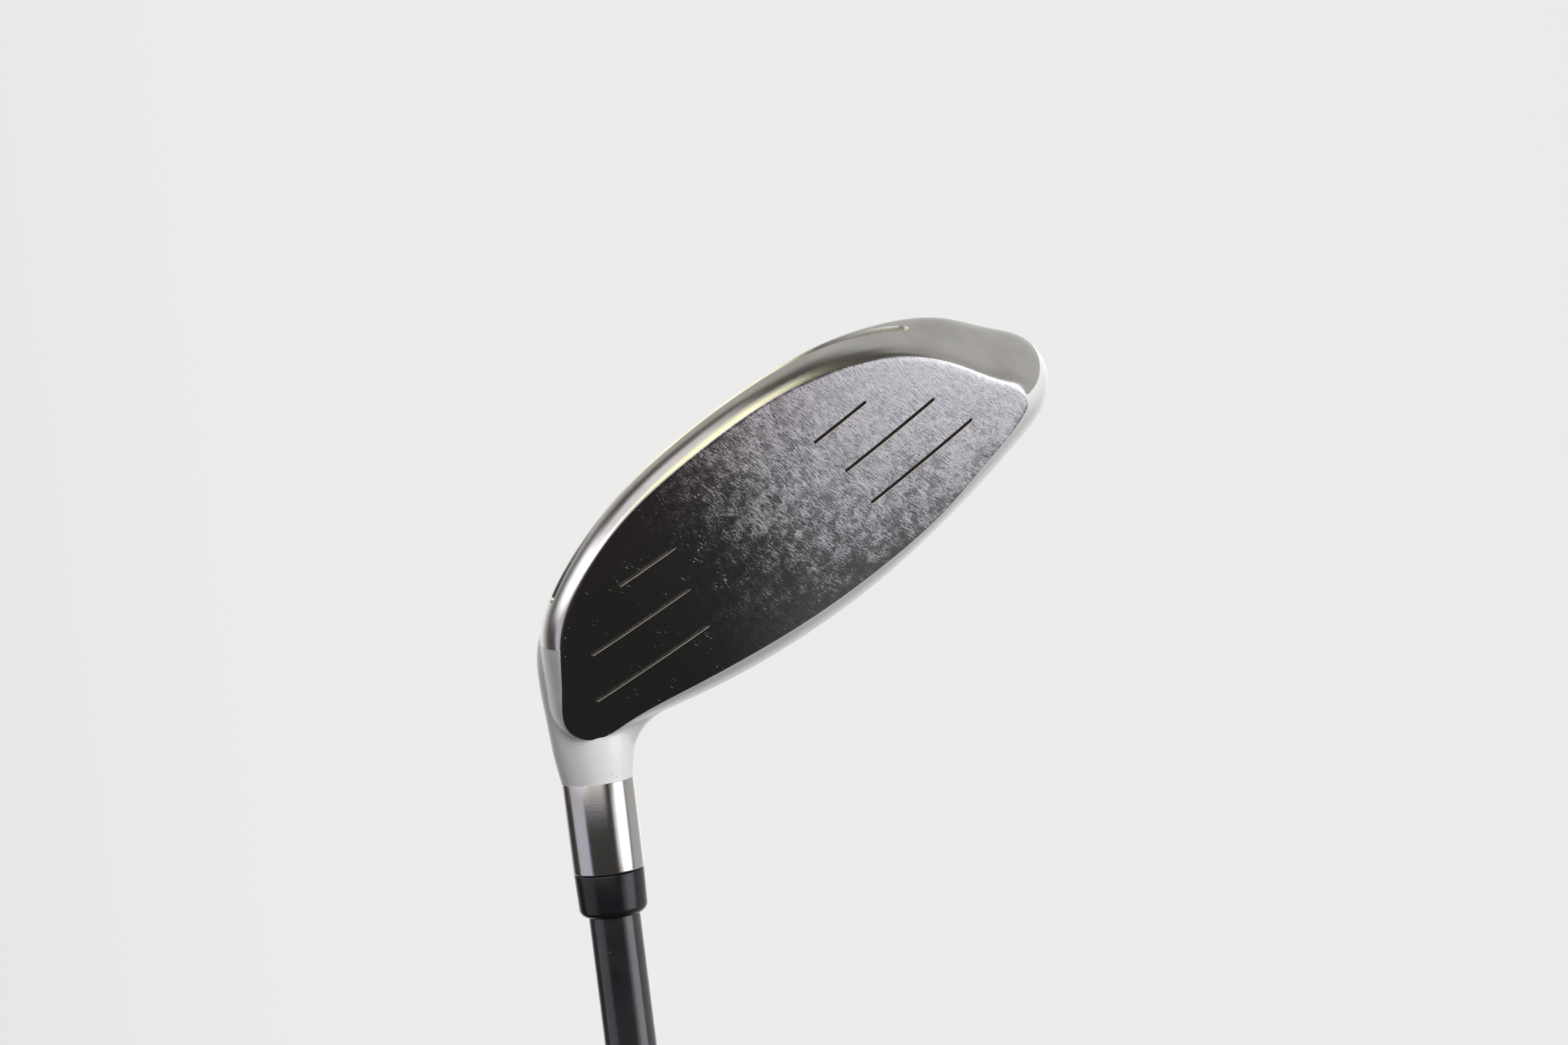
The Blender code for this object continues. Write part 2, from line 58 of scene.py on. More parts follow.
LIE = radians(61.0)
LOFT = radians(19.0)
FACE_TOEWARD = 33.7 * MM
FACE_FORWARD = 16.0 * MM
FACE_BULGE = 300.0 * MM
FACE_ROLL = 300.0 * MM
FACE_MIDDLE = (2.0 * MM, 0.0)
GROOVE_PITCH = 8.26 * MM
GROOVE_SPANS = ((15.2, 27.2), (17.1, 38.0), (18.0, 42.0))   # mm from the centre, sole row first

# Rim of the face in mm: place on the face (x, up the face), then how far the
# body swells outside the rim and how far behind the rim it is widest.
RIM = (
    (-48.9, 11.0, 1.2, 9.0),
    (-46.0, 3.2, 1.8, 8.5),
    (-40.6, -6.0, 2.4, 7.5),
    (-31.0, -13.6, 2.4, 6.5),
    (-17.5, -18.7, 2.6, 5.6),
    (-2.5, -20.4, 3.0, 5.5),
    (12.0, -20.0, 3.3, 5.5),
    (25.0, -16.9, 4.4, 7.0),
    (36.2, -11.2, 5.7, 10.0),
    (44.2, -2.8, 8.2, 15.0),
    (49.9, 6.0, 9.9, 18.0),
    (52.8, 11.8, 9.4, 19.0),
    (52.4, 13.8, 7.5, 19.0),
    (50.0, 15.2, 5.9, 19.0),
    (41.5, 17.0, 4.8, 18.0),
    (29.0, 19.3, 3.8, 16.0),
    (14.0, 20.2, 3.9, 14.0),
    (0.0, 19.9, 4.1, 14.0),
    (-14.0, 18.6, 4.2, 14.0),
    (-28.0, 16.7, 3.7, 14.0),
    (-40.0, 15.6, 2.4, 12.0),
    (-46.6, 14.6, 1.4, 10.0),
)
FINE = 7200                     # ten times the CAD's samples, for mirror-smooth metal
SWELL_BLEND = 60
SWELL_PASSES = 14
TAIL = (4.0 * MM, -52.0 * MM, -1.0 * MM)
BACK_FULLNESS = 0.9
SOLE_FULLNESS = 1.3
NOSE_SLANT = 0.30
SLOT_FRONT = 4.9 * MM
SLOT_WIDTH = 2.4 * MM
NECK_TOP = 41.8 * MM
HOSEL_END = 58.2 * MM
HOSEL_R = 6.5 * MM
FERRULE_END = 66.4 * MM
FERRULE_R = 6.2 * MM
FERRULE_TOP_R = 6.35 * MM
TIP_R = 4.7 * MM
GAP = 0.3 * MM
TIP_WALL = 1.7 * MM
TIP_STRAIGHT = 75.0 * MM
BUTT_R = 7.6 * MM
BUTT_WALL = 1.1 * MM
BUTT_STRAIGHT = 250.0 * MM
GRIP_BUTT_R = 13.4 * MM
GRIP_MOUTH_R = 9.4 * MM
CAP_EDGE = 1.5 * MM

# Neck: radius and distance down the shaft's axis from the face centre's level, in mm
NECK = ((0.0, 11.0), (5.4, 12.2), (7.6, 15.5), (8.3, 20.0), (8.2, 25.0), (7.8, 30.0), (7.4, 36.0),
        (6.9, 39.6), (6.5, 41.8), (6.5, 46.0))
NECK_PASSES = 300

FACE_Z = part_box("ferrule")[0].z + FERRULE_END
HEAD = Matrix((
    (sin(LIE), 0.0, cos(LIE), FACE_TOEWARD),
    (0.0, -1.0, 0.0, -FACE_FORWARD),
    (cos(LIE), 0.0, -sin(LIE), FACE_Z),
    (0.0, 0.0, 0.0, 1.0),
))
HEAD_TURN = np.array(HEAD.to_3x3())
HEAD_PLACE = np.array(HEAD.translation)

# ---- sizes of the visible detail

PROUD = 0.06 * MM               # bare metal stands this far off the painted skin
LIP_REACH = 1.6 * MM            # the face's edge is rounded this far to both sides
LIP_STEP = 0.1 * MM
LIP_PASSES = 60
GROOVE_HALF_WIDTH = 0.36        # mm
GROOVE_SECTION = ((0.16, 0.15), (0.0, 0.0), (-0.06, -0.07), (-0.10, -0.28),
                  (-0.20, -0.40))       # growth and height of each ring of a groove, in mm
SOLE_FROM = 0.07                # rim fractions between which the sole is bare steel
SOLE_TO = 0.55
SOLE_TO_BACK = 0.535
SOLE_REAR = (1.12, 0.68)        # `back` at the bare sole's ends, and what its middle adds
SOLE_LENGTH = 114.0 * MM
SLOT_ENDS = (0.073, 0.79)       # shares of the bare sole's length
SLOT_EDGE = 0.35                # mm to both sides of the slot's edges where rows lie close
SLOT_WALL = (-0.06 * MM, 0.30 * MM)     # the slot sinks over this distance inside its outline
CHANNEL_DEPTH = 1.9 * MM
LINER_DEPTH = 0.9 * MM
LINER_MARGIN = 0.05 * MM
LINER_THICK = 1.75 * MM         # from the skin to the underside of the filler
PLATE_THICK = 1.0 * MM
SOLE_THICK = 0.35 * MM
PAINT_THICK = 0.8 * MM
TUCK = 0.55 * MM                # the paint lies this far lower under the bare metal
TUCK_FADE = (0.15 * MM, 1.0 * MM)
HIDDEN_FROM = 2.2 * MM          # further in than this the paint is left out
VOXEL = 0.45 * MM
FILLET = 9.0 * MM
FILLET_FADE = (0.4 * MM, 5.0 * MM)
HOSEL_EDGES = (0.06 * MM, 0.25 * MM)
FERRULE_EDGE = 0.2 * MM
FERRULE_ROUNDING = 1.6 * MM
FERRULE_CLEAR = 0.04 * MM
TIP_CHAMFER = 0.5 * MM
RING_PITCH = 5.2 * MM           # of the lacquer's rings along the shaft
RING_HEIGHT = 0.008 * MM
GRIP_TAPER = 1.25
TAPE_WALL = 0.4 * MM
MOUTH_ROUNDING = (2.2 * MM, 0.9 * MM)
CUT_PITCH = 17.0 * MM
CUT_DEPTH = 0.38 * MM
BAND_FADE = 4.0 * MM
CAP_DISH = ((9.6, 0.0), (9.3, 0.15), (8.9, 0.45), (4.0, 0.5), (3.7, 0.35), (3.3, 0.15),
            (1.6, 0.15), (1.1, 0.5))    # radius and height in mm, in to the vent hole
FLOOR_LEVEL = -0.6 * MM
FLOOR_INNER = 0.12
FLOOR_OUTER = 2.9
FLOOR_SEGMENTS = 96
FLOOR_RINGS = 24
CAMERA_PLACE = (-69.69, -622.47, 56.34)     # in mm, its height from the face centre's level
CAMERA_AXES = ((0.97609, -0.18184, -0.11906), (-0.13308, -0.06687, -0.98885),
               (0.17185, 0.98105, -0.08947))    # right, down and ahead
CAMERA_SENSOR = 36.0
CAMERA_LENS = 80.7


def smooth(value, low, high):
    share = np.clip((np.asarray(value, float) - low) / (high - low), 0.0, 1.0)
    return share * share * (3.0 - 2.0 * share)


# ---- head surface, as in the CAD

def closed_spline(rows, at):
    """Periodic cubic spline through rows, read at the fractions `at` of its length."""
    knots = np.asarray(rows, float)
    count = len(knots)
    following = np.roll(knots, -1, axis=0)
    step = np.linalg.norm((following - knots)[:, :2], axis=1)
    before = np.roll(step, 1)
    index = np.arange(count)
    system = np.zeros((count, count))
    system[index, index] = 2.0 * (before + step)
    system[index, (index - 1) % count] += before
    system[index, (index + 1) % count] += step
    slope = (following - knots) / step[:, None]
    bend = np.linalg.solve(system, 6.0 * (slope - np.roll(slope, 1, axis=0)))
    start = np.concatenate(([0.0], np.cumsum(step)))
    place = (np.asarray(at, float) % 1.0) * start[-1]
    piece = np.clip(np.searchsorted(start, place, side="right") - 1, 0, count - 1)
    b = ((place - start[piece]) / step[piece])[:, None]
    a = 1.0 - b
    h = step[piece][:, None]
    after = (piece + 1) % count
    curve = a * knots[piece] + b * knots[after]
    curve += ((a ** 3 - a) * bend[piece] + (b ** 3 - b) * bend[after]) * h * h / 6.0
    return curve


def on_face(x, up, depth=0.0):
    """Head-frame points on the bulged and rolled face, or `depth` behind it."""
    sag = -(x * x / (2.0 * FACE_BULGE) + up * up / (2.0 * FACE_ROLL)) - depth
    forward = -up * sin(LOFT) + sag * cos(LOFT)
    return np.stack([x, forward, up * cos(LOFT) + sag * sin(LOFT)], axis=-1)


def outward(loop):
    tangent = np.roll(loop, -1, axis=0) - np.roll(loop, 1, axis=0)
    normal = np.stack([tangent[:, 1], -tangent[:, 0]], axis=1)
    return normal / np.linalg.norm(normal, axis=1)[:, None]


RIM_ROWS = closed_spline(RIM, np.arange(FINE) / FINE) * MM
RIM_OUT = outward(RIM_ROWS[:, :2])


def read_ring(table, at):
    """Rows of a closed table at the fractions `at`."""
    turn = (np.asarray(at, float) % 1.0) * FINE
    low = np.floor(turn).astype(int)
    part = (turn - low)[..., None]
    return table[low % FINE] * (1.0 - part) + table[(low + 1) % FINE] * part


def rim_swell():
    """Direction in which the body swells outside the rim, evened out round the rim."""
    normals = outward(on_face(RIM_ROWS[:, 0], RIM_ROWS[:, 1])[:, ::2])
    for _ in range(SWELL_PASSES):
        beside = np.roll(normals, SWELL_BLEND, axis=0) + np.roll(normals, -SWELL_BLEND, axis=0)
        normals = normals / 2.0 + beside / 4.0
    return normals / np.linalg.norm(normals, axis=1)[:, None]


RIM_SWELL = rim_swell()


def fullness(side):
    """How boxy the back is: the crown is full and the sole is cambered."""
    return BACK_FULLNESS + (SOLE_FULLNESS - BACK_FULLNESS) * np.clip(-side[..., 1], 0.0, 1.0) ** 2


def skin(at, back):
    """Points of the head's skin. `back` is 0 at the rim, 1 at the widest ring, 2 at the tail."""
    at, back = np.broadcast_arrays(np.asarray(at, float), np.asarray(back, float))
    rows = read_ring(RIM_ROWS, at)
    side = read_ring(RIM_SWELL, at)
    front = on_face(rows[..., 0], rows[..., 1])
    reach = rows[..., 3]
    wide = front.copy()
    wide[..., 0] += side[..., 0] * rows[..., 2]
    wide[..., 2] += side[..., 1] * rows[..., 2]
    wide[..., 1] -= reach
    nose = np.clip(back, 0.0, 1.0) * pi / 2.0
    rear = np.clip(back - 1.0, 0.0, 1.0) * pi / 2.0
    points = front + (wide - front) * np.sin(nose)[..., None]
    slant = (1.0 - NOSE_SLANT) * (1.0 - np.cos(nose)) + NOSE_SLANT * np.sin(nose)
    points[..., 1] = front[..., 1] - reach * slant
    tail = np.array(TAIL)
    full = fullness(side)
    keep = np.cos(rear) ** full
    drop = np.sin(rear) ** full
    behind = tail + (wide - tail) * keep[..., None]
    behind[..., 1] = wide[..., 1] + (tail[1] - wide[..., 1]) * drop
    return np.where((back > 1.0)[..., None], behind, points)


def back_behind(at, distance):
    """The skin's `back` value a given distance behind the rim."""
    rows = read_ring(RIM_ROWS, at)
    reach = rows[..., 3]
    length = hypot(NOSE_SLANT, 1.0 - NOSE_SLANT)
    lead = atan2(1.0 - NOSE_SLANT, NOSE_SLANT)
    part = np.clip(distance / reach, 0.0, 1.0) - (1.0 - NOSE_SLANT)
    nose = (lead + np.arcsin(part / length)) / (pi / 2.0)
    rest = on_face(rows[..., 0], rows[..., 1])[..., 1] - reach - TAIL[1]
    share = np.clip((distance - reach) / rest, 0.0, 1.0)
    rear = 1.0 + np.arcsin(share ** (1.0 / fullness(read_ring(RIM_SWELL, at)))) / (pi / 2.0)
    return np.where(distance > reach, rear, nose)


def face_in(at, inset):
    """Points of the face, `inset` from the rim."""
    rows = read_ring(RIM_ROWS, at)[..., :2] - read_ring(RIM_OUT, at) * np.asarray(inset)[..., None]
    return on_face(rows[..., 0], rows[..., 1])


def arc_table(at, ends):
    """For each column: `back` values and their arc lengths from the rim to `ends`."""
    share = np.linspace(0.0, 1.0, 241)[:, None]
    back = share * ends[None, :]
    points = skin(at[None, :], back)
    step = np.linalg.norm(np.diff(points, axis=0), axis=-1)
    return back, np.concatenate([np.zeros((1, len(at))), np.cumsum(step, axis=0)])


def at_arcs(back, arc, wanted):
    """`back` where each column has the wanted arc lengths [rows, columns]."""
    made = np.empty_like(wanted)
    for c in range(wanted.shape[1]):
        made[:, c] = np.interp(wanted[:, c], arc[:, c], back[:, c])
    return made


LIP_ARCS = np.arange(0.0, LIP_REACH + LIP_STEP / 2.0, LIP_STEP)


def rounded_lip(at, weight):
    """Rows of points across the rim, from the face to the skin, with its edge rounded off."""
    arcs = np.broadcast_to(LIP_ARCS[:, None], (len(LIP_ARCS), len(at)))
    inner = face_in(at[None, :], arcs[:0:-1])
    back, arc = arc_table(at, np.ones(len(at)))
    outer_back = at_arcs(back, arc, arcs)
    rows = np.concatenate([inner, skin(at[None, :], outer_back)])
    ease = np.minimum(1.0, 4.0 * (1.0 - np.abs(np.linspace(-1.0, 1.0, len(rows)))))
    amount = (ease[1:-1, None] * weight[None, :])[..., None]
    for _ in range(LIP_PASSES):
        rows[1:-1] += (rows[:-2] / 4.0 + rows[2:] / 4.0 - rows[1:-1] / 2.0) * amount
    return rows, outer_back


def lip_weight(at):
    """1 where the face rolls into the bare sole, little where it meets the paint."""
    turned_at = (np.asarray(at) + 0.2) % 1.0
    return 0.06 + 0.94 * smooth(turned_at, 0.24, 0.29) * (1.0 - smooth(turned_at, 0.765, 0.785))


def grid_normals(points, wrap=False):
    """Unit normals of a grid of points [rows, columns, 3]."""
    down_rows = np.gradient(points, axis=0)
    if wrap:
        across = np.roll(points, -1, axis=1) - np.roll(points, 1, axis=1)
    else:
        across = np.gradient(points, axis=1)
    normal = np.cross(across, down_rows)
    return normal / np.maximum(np.linalg.norm(normal, axis=-1), 1e-12)[..., None]


def facing_out(points, normals, inside):
    middle = (points - inside)[points.shape[0] // 2, points.shape[1] // 2]
    ahead = normals[points.shape[0] // 2, points.shape[1] // 2]
    return normals if middle @ ahead > 0.0 else -normals


# ---- mesh helpers

def to_row(points):
    """Head frame to row frame."""
    return points @ HEAD_TURN.T + HEAD_PLACE


def placed(name, data):
    """A new object in the scene."""
    made = bpy.data.objects.new(name, data)
    bpy.context.scene.collection.objects.link(made)
    return made


def read_out(items, name, width, kind=float):
    """One property of every vertex, edge or face, as rows of an array."""
    values = np.empty(len(items) * width, kind)
    items.foreach_get(name, values)
    return values.reshape(-1, width)


def mark_sharp(mesh, sharp):
    mesh.shade_smooth()
    if sharp:
        mesh.set_sharp_from_angle(angle=radians(sharp))


def add_mesh(name, points, faces, sharp=35.0):
    mesh = bpy.data.meshes.new(name)
    mesh.from_pydata([tuple(p) for p in points], [], faces)
    mesh.validate()
    work = bmesh.new()
    work.from_mesh(mesh)
    bmesh.ops.recalc_face_normals(work, faces=work.faces)
    work.to_mesh(mesh)
    work.free()
    mark_sharp(mesh, sharp)
    return placed(name, mesh)


def quads(rows, columns, wrap, start=0):
    """Faces of a grid whose points are numbered row by row."""
    across = columns if wrap else columns - 1
    r, c = np.meshgrid(np.arange(rows - 1), np.arange(across), indexing="ij")
    after = (c + 1) % columns
    faces = np.stack([r * columns + c, r * columns + after, (r + 1) * columns + after,
                      (r + 1) * columns + c], axis=-1) + start
    return faces.reshape(-1, 4)


def shell(name, top, bottom, wrap=False):
    """Closed solid between two equal grids of points."""
    rows, columns = top.shape[:2]
    count = rows * columns
    faces = [quads(rows, columns, wrap), quads(rows, columns, wrap, count)[:, ::-1]]
    border = [np.arange(columns), (rows - 1) * columns + np.arange(columns)]
    if wrap:
        border = [np.append(b, b[0]) for b in border]
    else:
        border += [np.arange(rows) * columns, np.arange(rows) * columns + columns - 1]
    for line in border:
        faces.append(np.stack([line[:-1], line[1:], line[1:] + count, line[:-1] + count], axis=1))
    points = np.concatenate([top.reshape(-1, 3), bottom.reshape(-1, 3)])
    return add_mesh(name, points, np.concatenate(faces).tolist())


def lathe(name, profile, segments=96, sharp=35.0):
    """Closed solid turned about the shaft axis from (radius, z) points."""
    turn = np.arange(segments) * 2.0 * pi / segments
    points, rings = [], []
    for radius, z in profile:
        if radius > 0.0:
            rings.append(list(range(len(points), len(points) + segments)))
            points += [(radius * cos(a), radius * sin(a), z) for a in turn]
        else:
            rings.append([len(points)] * segments)
            points.append((0.0, 0.0, z))
    pairs = list(zip(rings, rings[1:]))
    if profile[0][0] > 0.0 and profile[-1][0] > 0.0:
        pairs.append((rings[-1], rings[0]))
    faces = []
    for low, high in pairs:
        for i in range(segments):
            j = (i + 1) % segments
            corners = [low[i], low[j], high[j], high[i]]
            faces.append([v for k, v in enumerate(corners) if v not in corners[:k]])
    return add_mesh(name, points, [f for f in faces if len(f) > 2], sharp)


def down(distance):
    """Height of a place that lies a distance below the face centre's level."""
    return FACE_Z - distance


# ---- material helpers

class Nodes:
    """Short calls for building one procedural material or world."""

    def __init__(self, tree):
        self.tree = tree

    def add(self, kind, **sockets):
        node = self.tree.nodes.new(kind)
        for key, value in sockets.items():
            self.put(node.inputs[key.replace("_", " ")], value)
        return node

    def put(self, socket, value):
        if isinstance(value, bpy.types.NodeSocket):
            self.tree.links.new(value, socket)
        else:
            socket.default_value = value

    def work(self, kind, operation, values):
        node = self.tree.nodes.new(kind)
        node.operation = operation
        for socket, value in zip(node.inputs, values):
            self.put(socket, value)
        return node.outputs

    def math(self, operation, *values):
        return self.work("ShaderNodeMath", operation, values)[0]

    def plus(self, a, b):
        return self.math("ADD", a, b)

    def minus(self, a, b):
        return self.math("SUBTRACT", a, b)

    def times(self, a, b):
        return self.math("MULTIPLY", a, b)

    def larger(self, a, b):
        return self.math("MAXIMUM", a, b)

    def dot(self, where, axis):
        return self.work("ShaderNodeVectorMath", "DOT_PRODUCT", (where, axis))["Value"]

    def stretch(self, where, x, y, z):
        return self.work("ShaderNodeVectorMath", "MULTIPLY", (where, (x, y, z)))["Vector"]

    def ramp(self, value, low, high, to_low=0.0, to_high=1.0):
        node = self.add("ShaderNodeMapRange", Value=value, From_Min=low, From_Max=high,
                        To_Min=to_low, To_Max=to_high)
        node.interpolation_type = "SMOOTHSTEP"
        return node.outputs[0]

    def mix(self, share, a, b):
        node = self.tree.nodes.new("ShaderNodeMix")
        node.data_type = "RGBA"
        for key, given in (("Factor_Float", share), ("A_Color", a), ("B_Color", b)):
            colour = (*given, 1.0) if isinstance(given, tuple) else given
            self.put(next(s for s in node.inputs if s.identifier == key), colour)
        return next(s for s in node.outputs if s.identifier == "Result_Color")

    def noise(self, where, scale, detail=3.0, rough=0.5):
        return self.add("ShaderNodeTexNoise", Vector=where, Scale=scale, Detail=detail,
                        Roughness=rough).outputs["Fac"]

    def parts(self, where):
        return self.add("ShaderNodeSeparateXYZ", Vector=where).outputs


class Material(Nodes):
    """One material; `place` is in the row frame's metres, `mm` the same in millimetres."""

    def __init__(self, name):
        self.made = bpy.data.materials.new(name)
        self.made.use_nodes = True
        super().__init__(self.made.node_tree)
        self.shader = self.tree.nodes["Principled BSDF"]
        self.place = self.add("ShaderNodeTexCoord").outputs["Object"]
        self.mm = self.stretch(self.place, 1e3, 1e3, 1e3)

    def head(self):
        """Head-frame coordinates in millimetres."""
        turn = self.add("ShaderNodeMapping", Vector=self.place)
        turn.vector_type = "TEXTURE"
        self.put(turn.inputs["Location"], HEAD.translation)
        self.put(turn.inputs["Rotation"], HEAD.to_euler())
        return self.stretch(turn.outputs[0], 1e3, 1e3, 1e3)

    def tilted(self, where, angle):
        """Coordinates turned by an angle over the face, about the head's y axis."""
        return self.add("ShaderNodeMapping", Vector=where,
                        Rotation=(0.0, radians(angle), 0.0)).outputs[0]

    def finished(self, base, rough, height, strength, depth, **plain):
        """The material, with its colour, roughness and bump (`depth` in mm) set."""
        bump = self.add("ShaderNodeBump", Height=height, Strength=strength, Distance=depth * MM)
        for key, value in (("Base Color", base), ("Roughness", rough), ("Normal", bump.outputs[0])):
            self.put(self.shader.inputs[key], value)
        for key, value in plain.items():
            self.put(self.shader.inputs[key.replace("_", " ")], value)
        return self.made


def behind_face(n, head):
    """Millimetres behind the bulged and rolled face."""
    ahead = n.dot(head, (0.0, cos(LOFT), sin(LOFT)))
    up = n.dot(head, (0.0, -sin(LOFT), cos(LOFT)))
    across = n.dot(head, (1.0, 0.0, 0.0))
    bow = n.math("DIVIDE", n.plus(n.times(up, up), n.times(across, across)), 2.0 * FACE_BULGE / MM)
    return n.times(n.plus(ahead, bow), -1.0)


def dress(piece, material):
    piece.data.materials.clear()
    piece.data.materials.append(material)


# ---- strike face

FACE_AHEAD = np.array((0.0, cos(LOFT), sin(LOFT)))
FACE_COLUMNS = 1200
FACE_RINGS = (0.06, 0.2, 0.35, 0.5, 0.63, 0.74, 0.83, 0.9, 0.95, 0.98)
INSET_ROWS = len(LIP_ARCS) - 1


def loft(name, rings, first, last, sharp=35.0):
    """Closed solid through a stack of closed rings, with a point at each end."""
    rows, columns = rings.shape[:2]
    here = np.arange(columns)
    after = (here + 1) % columns
    base = (rows - 1) * columns
    faces = quads(rows, columns, True).tolist()
    faces += np.stack([after, here, np.full(columns, rows * columns)], axis=1).tolist()
    last_point = np.full(columns, rows * columns + 1)
    faces += np.stack([base + here, base + after, last_point], axis=1).tolist()
    points = np.concatenate([rings.reshape(-1, 3), [first], [last]])
    return add_mesh(name, points, faces, sharp)


def stadium(half_length, half_width, along=30, round_end=10):
    """Outline of a bar with round ends, as (x, up) points."""
    straight = half_length - half_width
    turn = np.linspace(-pi / 2.0, pi / 2.0, round_end)
    right = np.stack([straight + half_width * np.cos(turn), half_width * np.sin(turn)], axis=1)
    run = np.linspace(straight, -straight, along + 2)[1:-1]
    top = np.stack([run, np.full(along, half_width)], axis=1)
    return np.concatenate([right, top, -right, -top])


def score_line(row, side, span):
    """Cutter for one score line, bent to the face, with a slight chamfer at its edge."""
    middle = side * (span[0] + span[1]) / 2.0 * MM
    up = (row - 1) * GROOVE_PITCH
    half = (span[1] - span[0]) / 2.0 * MM
    rings = []
    for grow, height in GROOVE_SECTION:
        outline = stadium(half + grow * MM, (GROOVE_HALF_WIDTH + grow) * MM)
        rings.append(on_face(outline[:, 0] + middle, outline[:, 1] + up, -height * MM - PROUD))
    rings = np.array(rings)
    return loft("cut", to_row(rings), to_row(rings[0].mean(axis=0)), to_row(rings[-1].mean(axis=0)))


def apply_modifiers(piece, sharp):
    bpy.context.view_layer.update()
    graph = bpy.context.evaluated_depsgraph_get()
    mesh = bpy.data.meshes.new_from_object(piece.evaluated_get(graph))
    piece.modifiers.clear()
    piece.data = mesh
    mark_sharp(mesh, sharp)


def face_rings(ring, shares):
    """Rings on the face, at shares of the way from its middle to `ring`."""
    places = [np.array(FACE_MIDDLE) + (ring - np.array(FACE_MIDDLE)) * share for share in shares]
    return [on_face(place[:, 0], place[:, 1]) for place in places]


def mark_grooves(mesh):
    """Gives the faces inside the score lines the mesh's second material."""
    local = (read_out(mesh.polygons, "center", 3) - HEAD_PLACE) @ HEAD_TURN
    up = local[:, 2] * cos(LOFT) - local[:, 1] * sin(LOFT)
    depth = (on_face(local[:, 0], up) - local) @ FACE_AHEAD
    inside = np.zeros(len(local), bool)
    for row, span in enumerate(GROOVE_SPANS):
        near = np.abs(up - (row - 1) * GROOVE_PITCH) < 0.6 * MM
        x = np.abs(local[:, 0]) / MM
        inside |= near & (x > span[0] - 0.4) & (x < span[1] + 0.4)
    inside &= (depth > 0.02 * MM) & (depth < 0.6 * MM)
    mesh.polygons.foreach_set("material_index", inside.astype(np.int32))


def make_face():
    at = np.arange(FACE_COLUMNS) / FACE_COLUMNS
    lip = rounded_lip(at, lip_weight(at))[0][:INSET_ROWS + 1]
    ring = read_ring(RIM_ROWS, at)[:, :2] - read_ring(RIM_OUT, at) * LIP_REACH
    top = np.concatenate([np.array(face_rings(ring, FACE_RINGS)), lip])
    normals = facing_out(top, grid_normals(top, wrap=True), top[0, 0] - FACE_AHEAD)
    ends = on_face(*FACE_MIDDLE)
    bottom = (top - FACE_AHEAD * PLATE_THICK)[::-1]
    top = top + normals * PROUD
    plate = loft("face_plate_polished", to_row(np.concatenate([top, bottom])),
                 to_row(ends + FACE_AHEAD * PROUD), to_row(ends - FACE_AHEAD * PLATE_THICK))
    cutters = []
    for row, span in enumerate(GROOVE_SPANS):
        for side in (-1, 1):
            cutter = score_line(row, side, span)
            cut = plate.modifiers.new("score", "BOOLEAN")
            cut.object = cutter
            cut.operation = "DIFFERENCE"
            cut.solver = "EXACT"
            cutters.append(cutter)
    apply_modifiers(plate, 25.0)
    for cutter in cutters:
        bpy.data.objects.remove(cutter)
    return plate


# ---- bare steel sole with its slot

def sole_limit(back):
    """Rim fraction of the bare sole's toe end."""
    return SOLE_TO - (SOLE_TO - SOLE_TO_BACK) * smooth(back, 0.0, 1.1)


def sole_end(share):
    """`back` value of the bare sole's rear edge, which rounds into its two ends."""
    round_off = np.sqrt(np.clip(1.0 - np.abs(2.0 * share - 1.0) ** 5, 0.0, 1.0))
    return SOLE_REAR[0] + SOLE_REAR[1] * round_off


def sole_skin(share, back):
    return skin(SOLE_FROM + (sole_limit(back) - SOLE_FROM) * share, back)


def between(low, high, count, power=1.0):
    share = np.linspace(0.0, 1.0, count + 2)[1:-1, None] ** power
    return low[None, :] + (high - low)[None, :] * share


def sole_frame(share):
    """Columns of the bare sole: their tables, and the slot's front and rear arc lengths."""
    at = SOLE_FROM + (SOLE_TO - SOLE_FROM) * share
    back, arc = arc_table(at, sole_end(share))
    edges = []
    for distance in (SLOT_FRONT, SLOT_FRONT + SLOT_WIDTH):
        wanted = back_behind(at, distance)
        edges.append([np.interp(wanted[c], back[:, c], arc[:, c]) for c in range(len(at))])
    return at, back, arc, np.array(edges[0]), np.array(edges[1])


def slot_depth(share, arcs, front, rear, depth):
    """How far the slot sinks each point of the sole."""
    half = (rear - front)[None, :] / 2.0
    along = (share * SOLE_LENGTH)[None, :]
    low, high = SLOT_ENDS[0] * SOLE_LENGTH, SLOT_ENDS[1] * SOLE_LENGTH
    beyond = np.maximum(np.maximum(low + half - along, along - (high - half)), 0.0)
    inside = half - np.hypot(beyond, arcs - front[None, :] - half)
    return depth * smooth(inside, *SLOT_WALL)


def sole_columns():
    """Shares along the sole, closer together at the slot's ends."""
    turn = np.linspace(0.0, pi, 420)
    plain = (1.0 - np.cos(turn)) / 2.0
    near = [np.linspace(end - 0.018, end + 0.018, 60) for end in SLOT_ENDS]
    return np.unique(np.concatenate([plain, *near]))


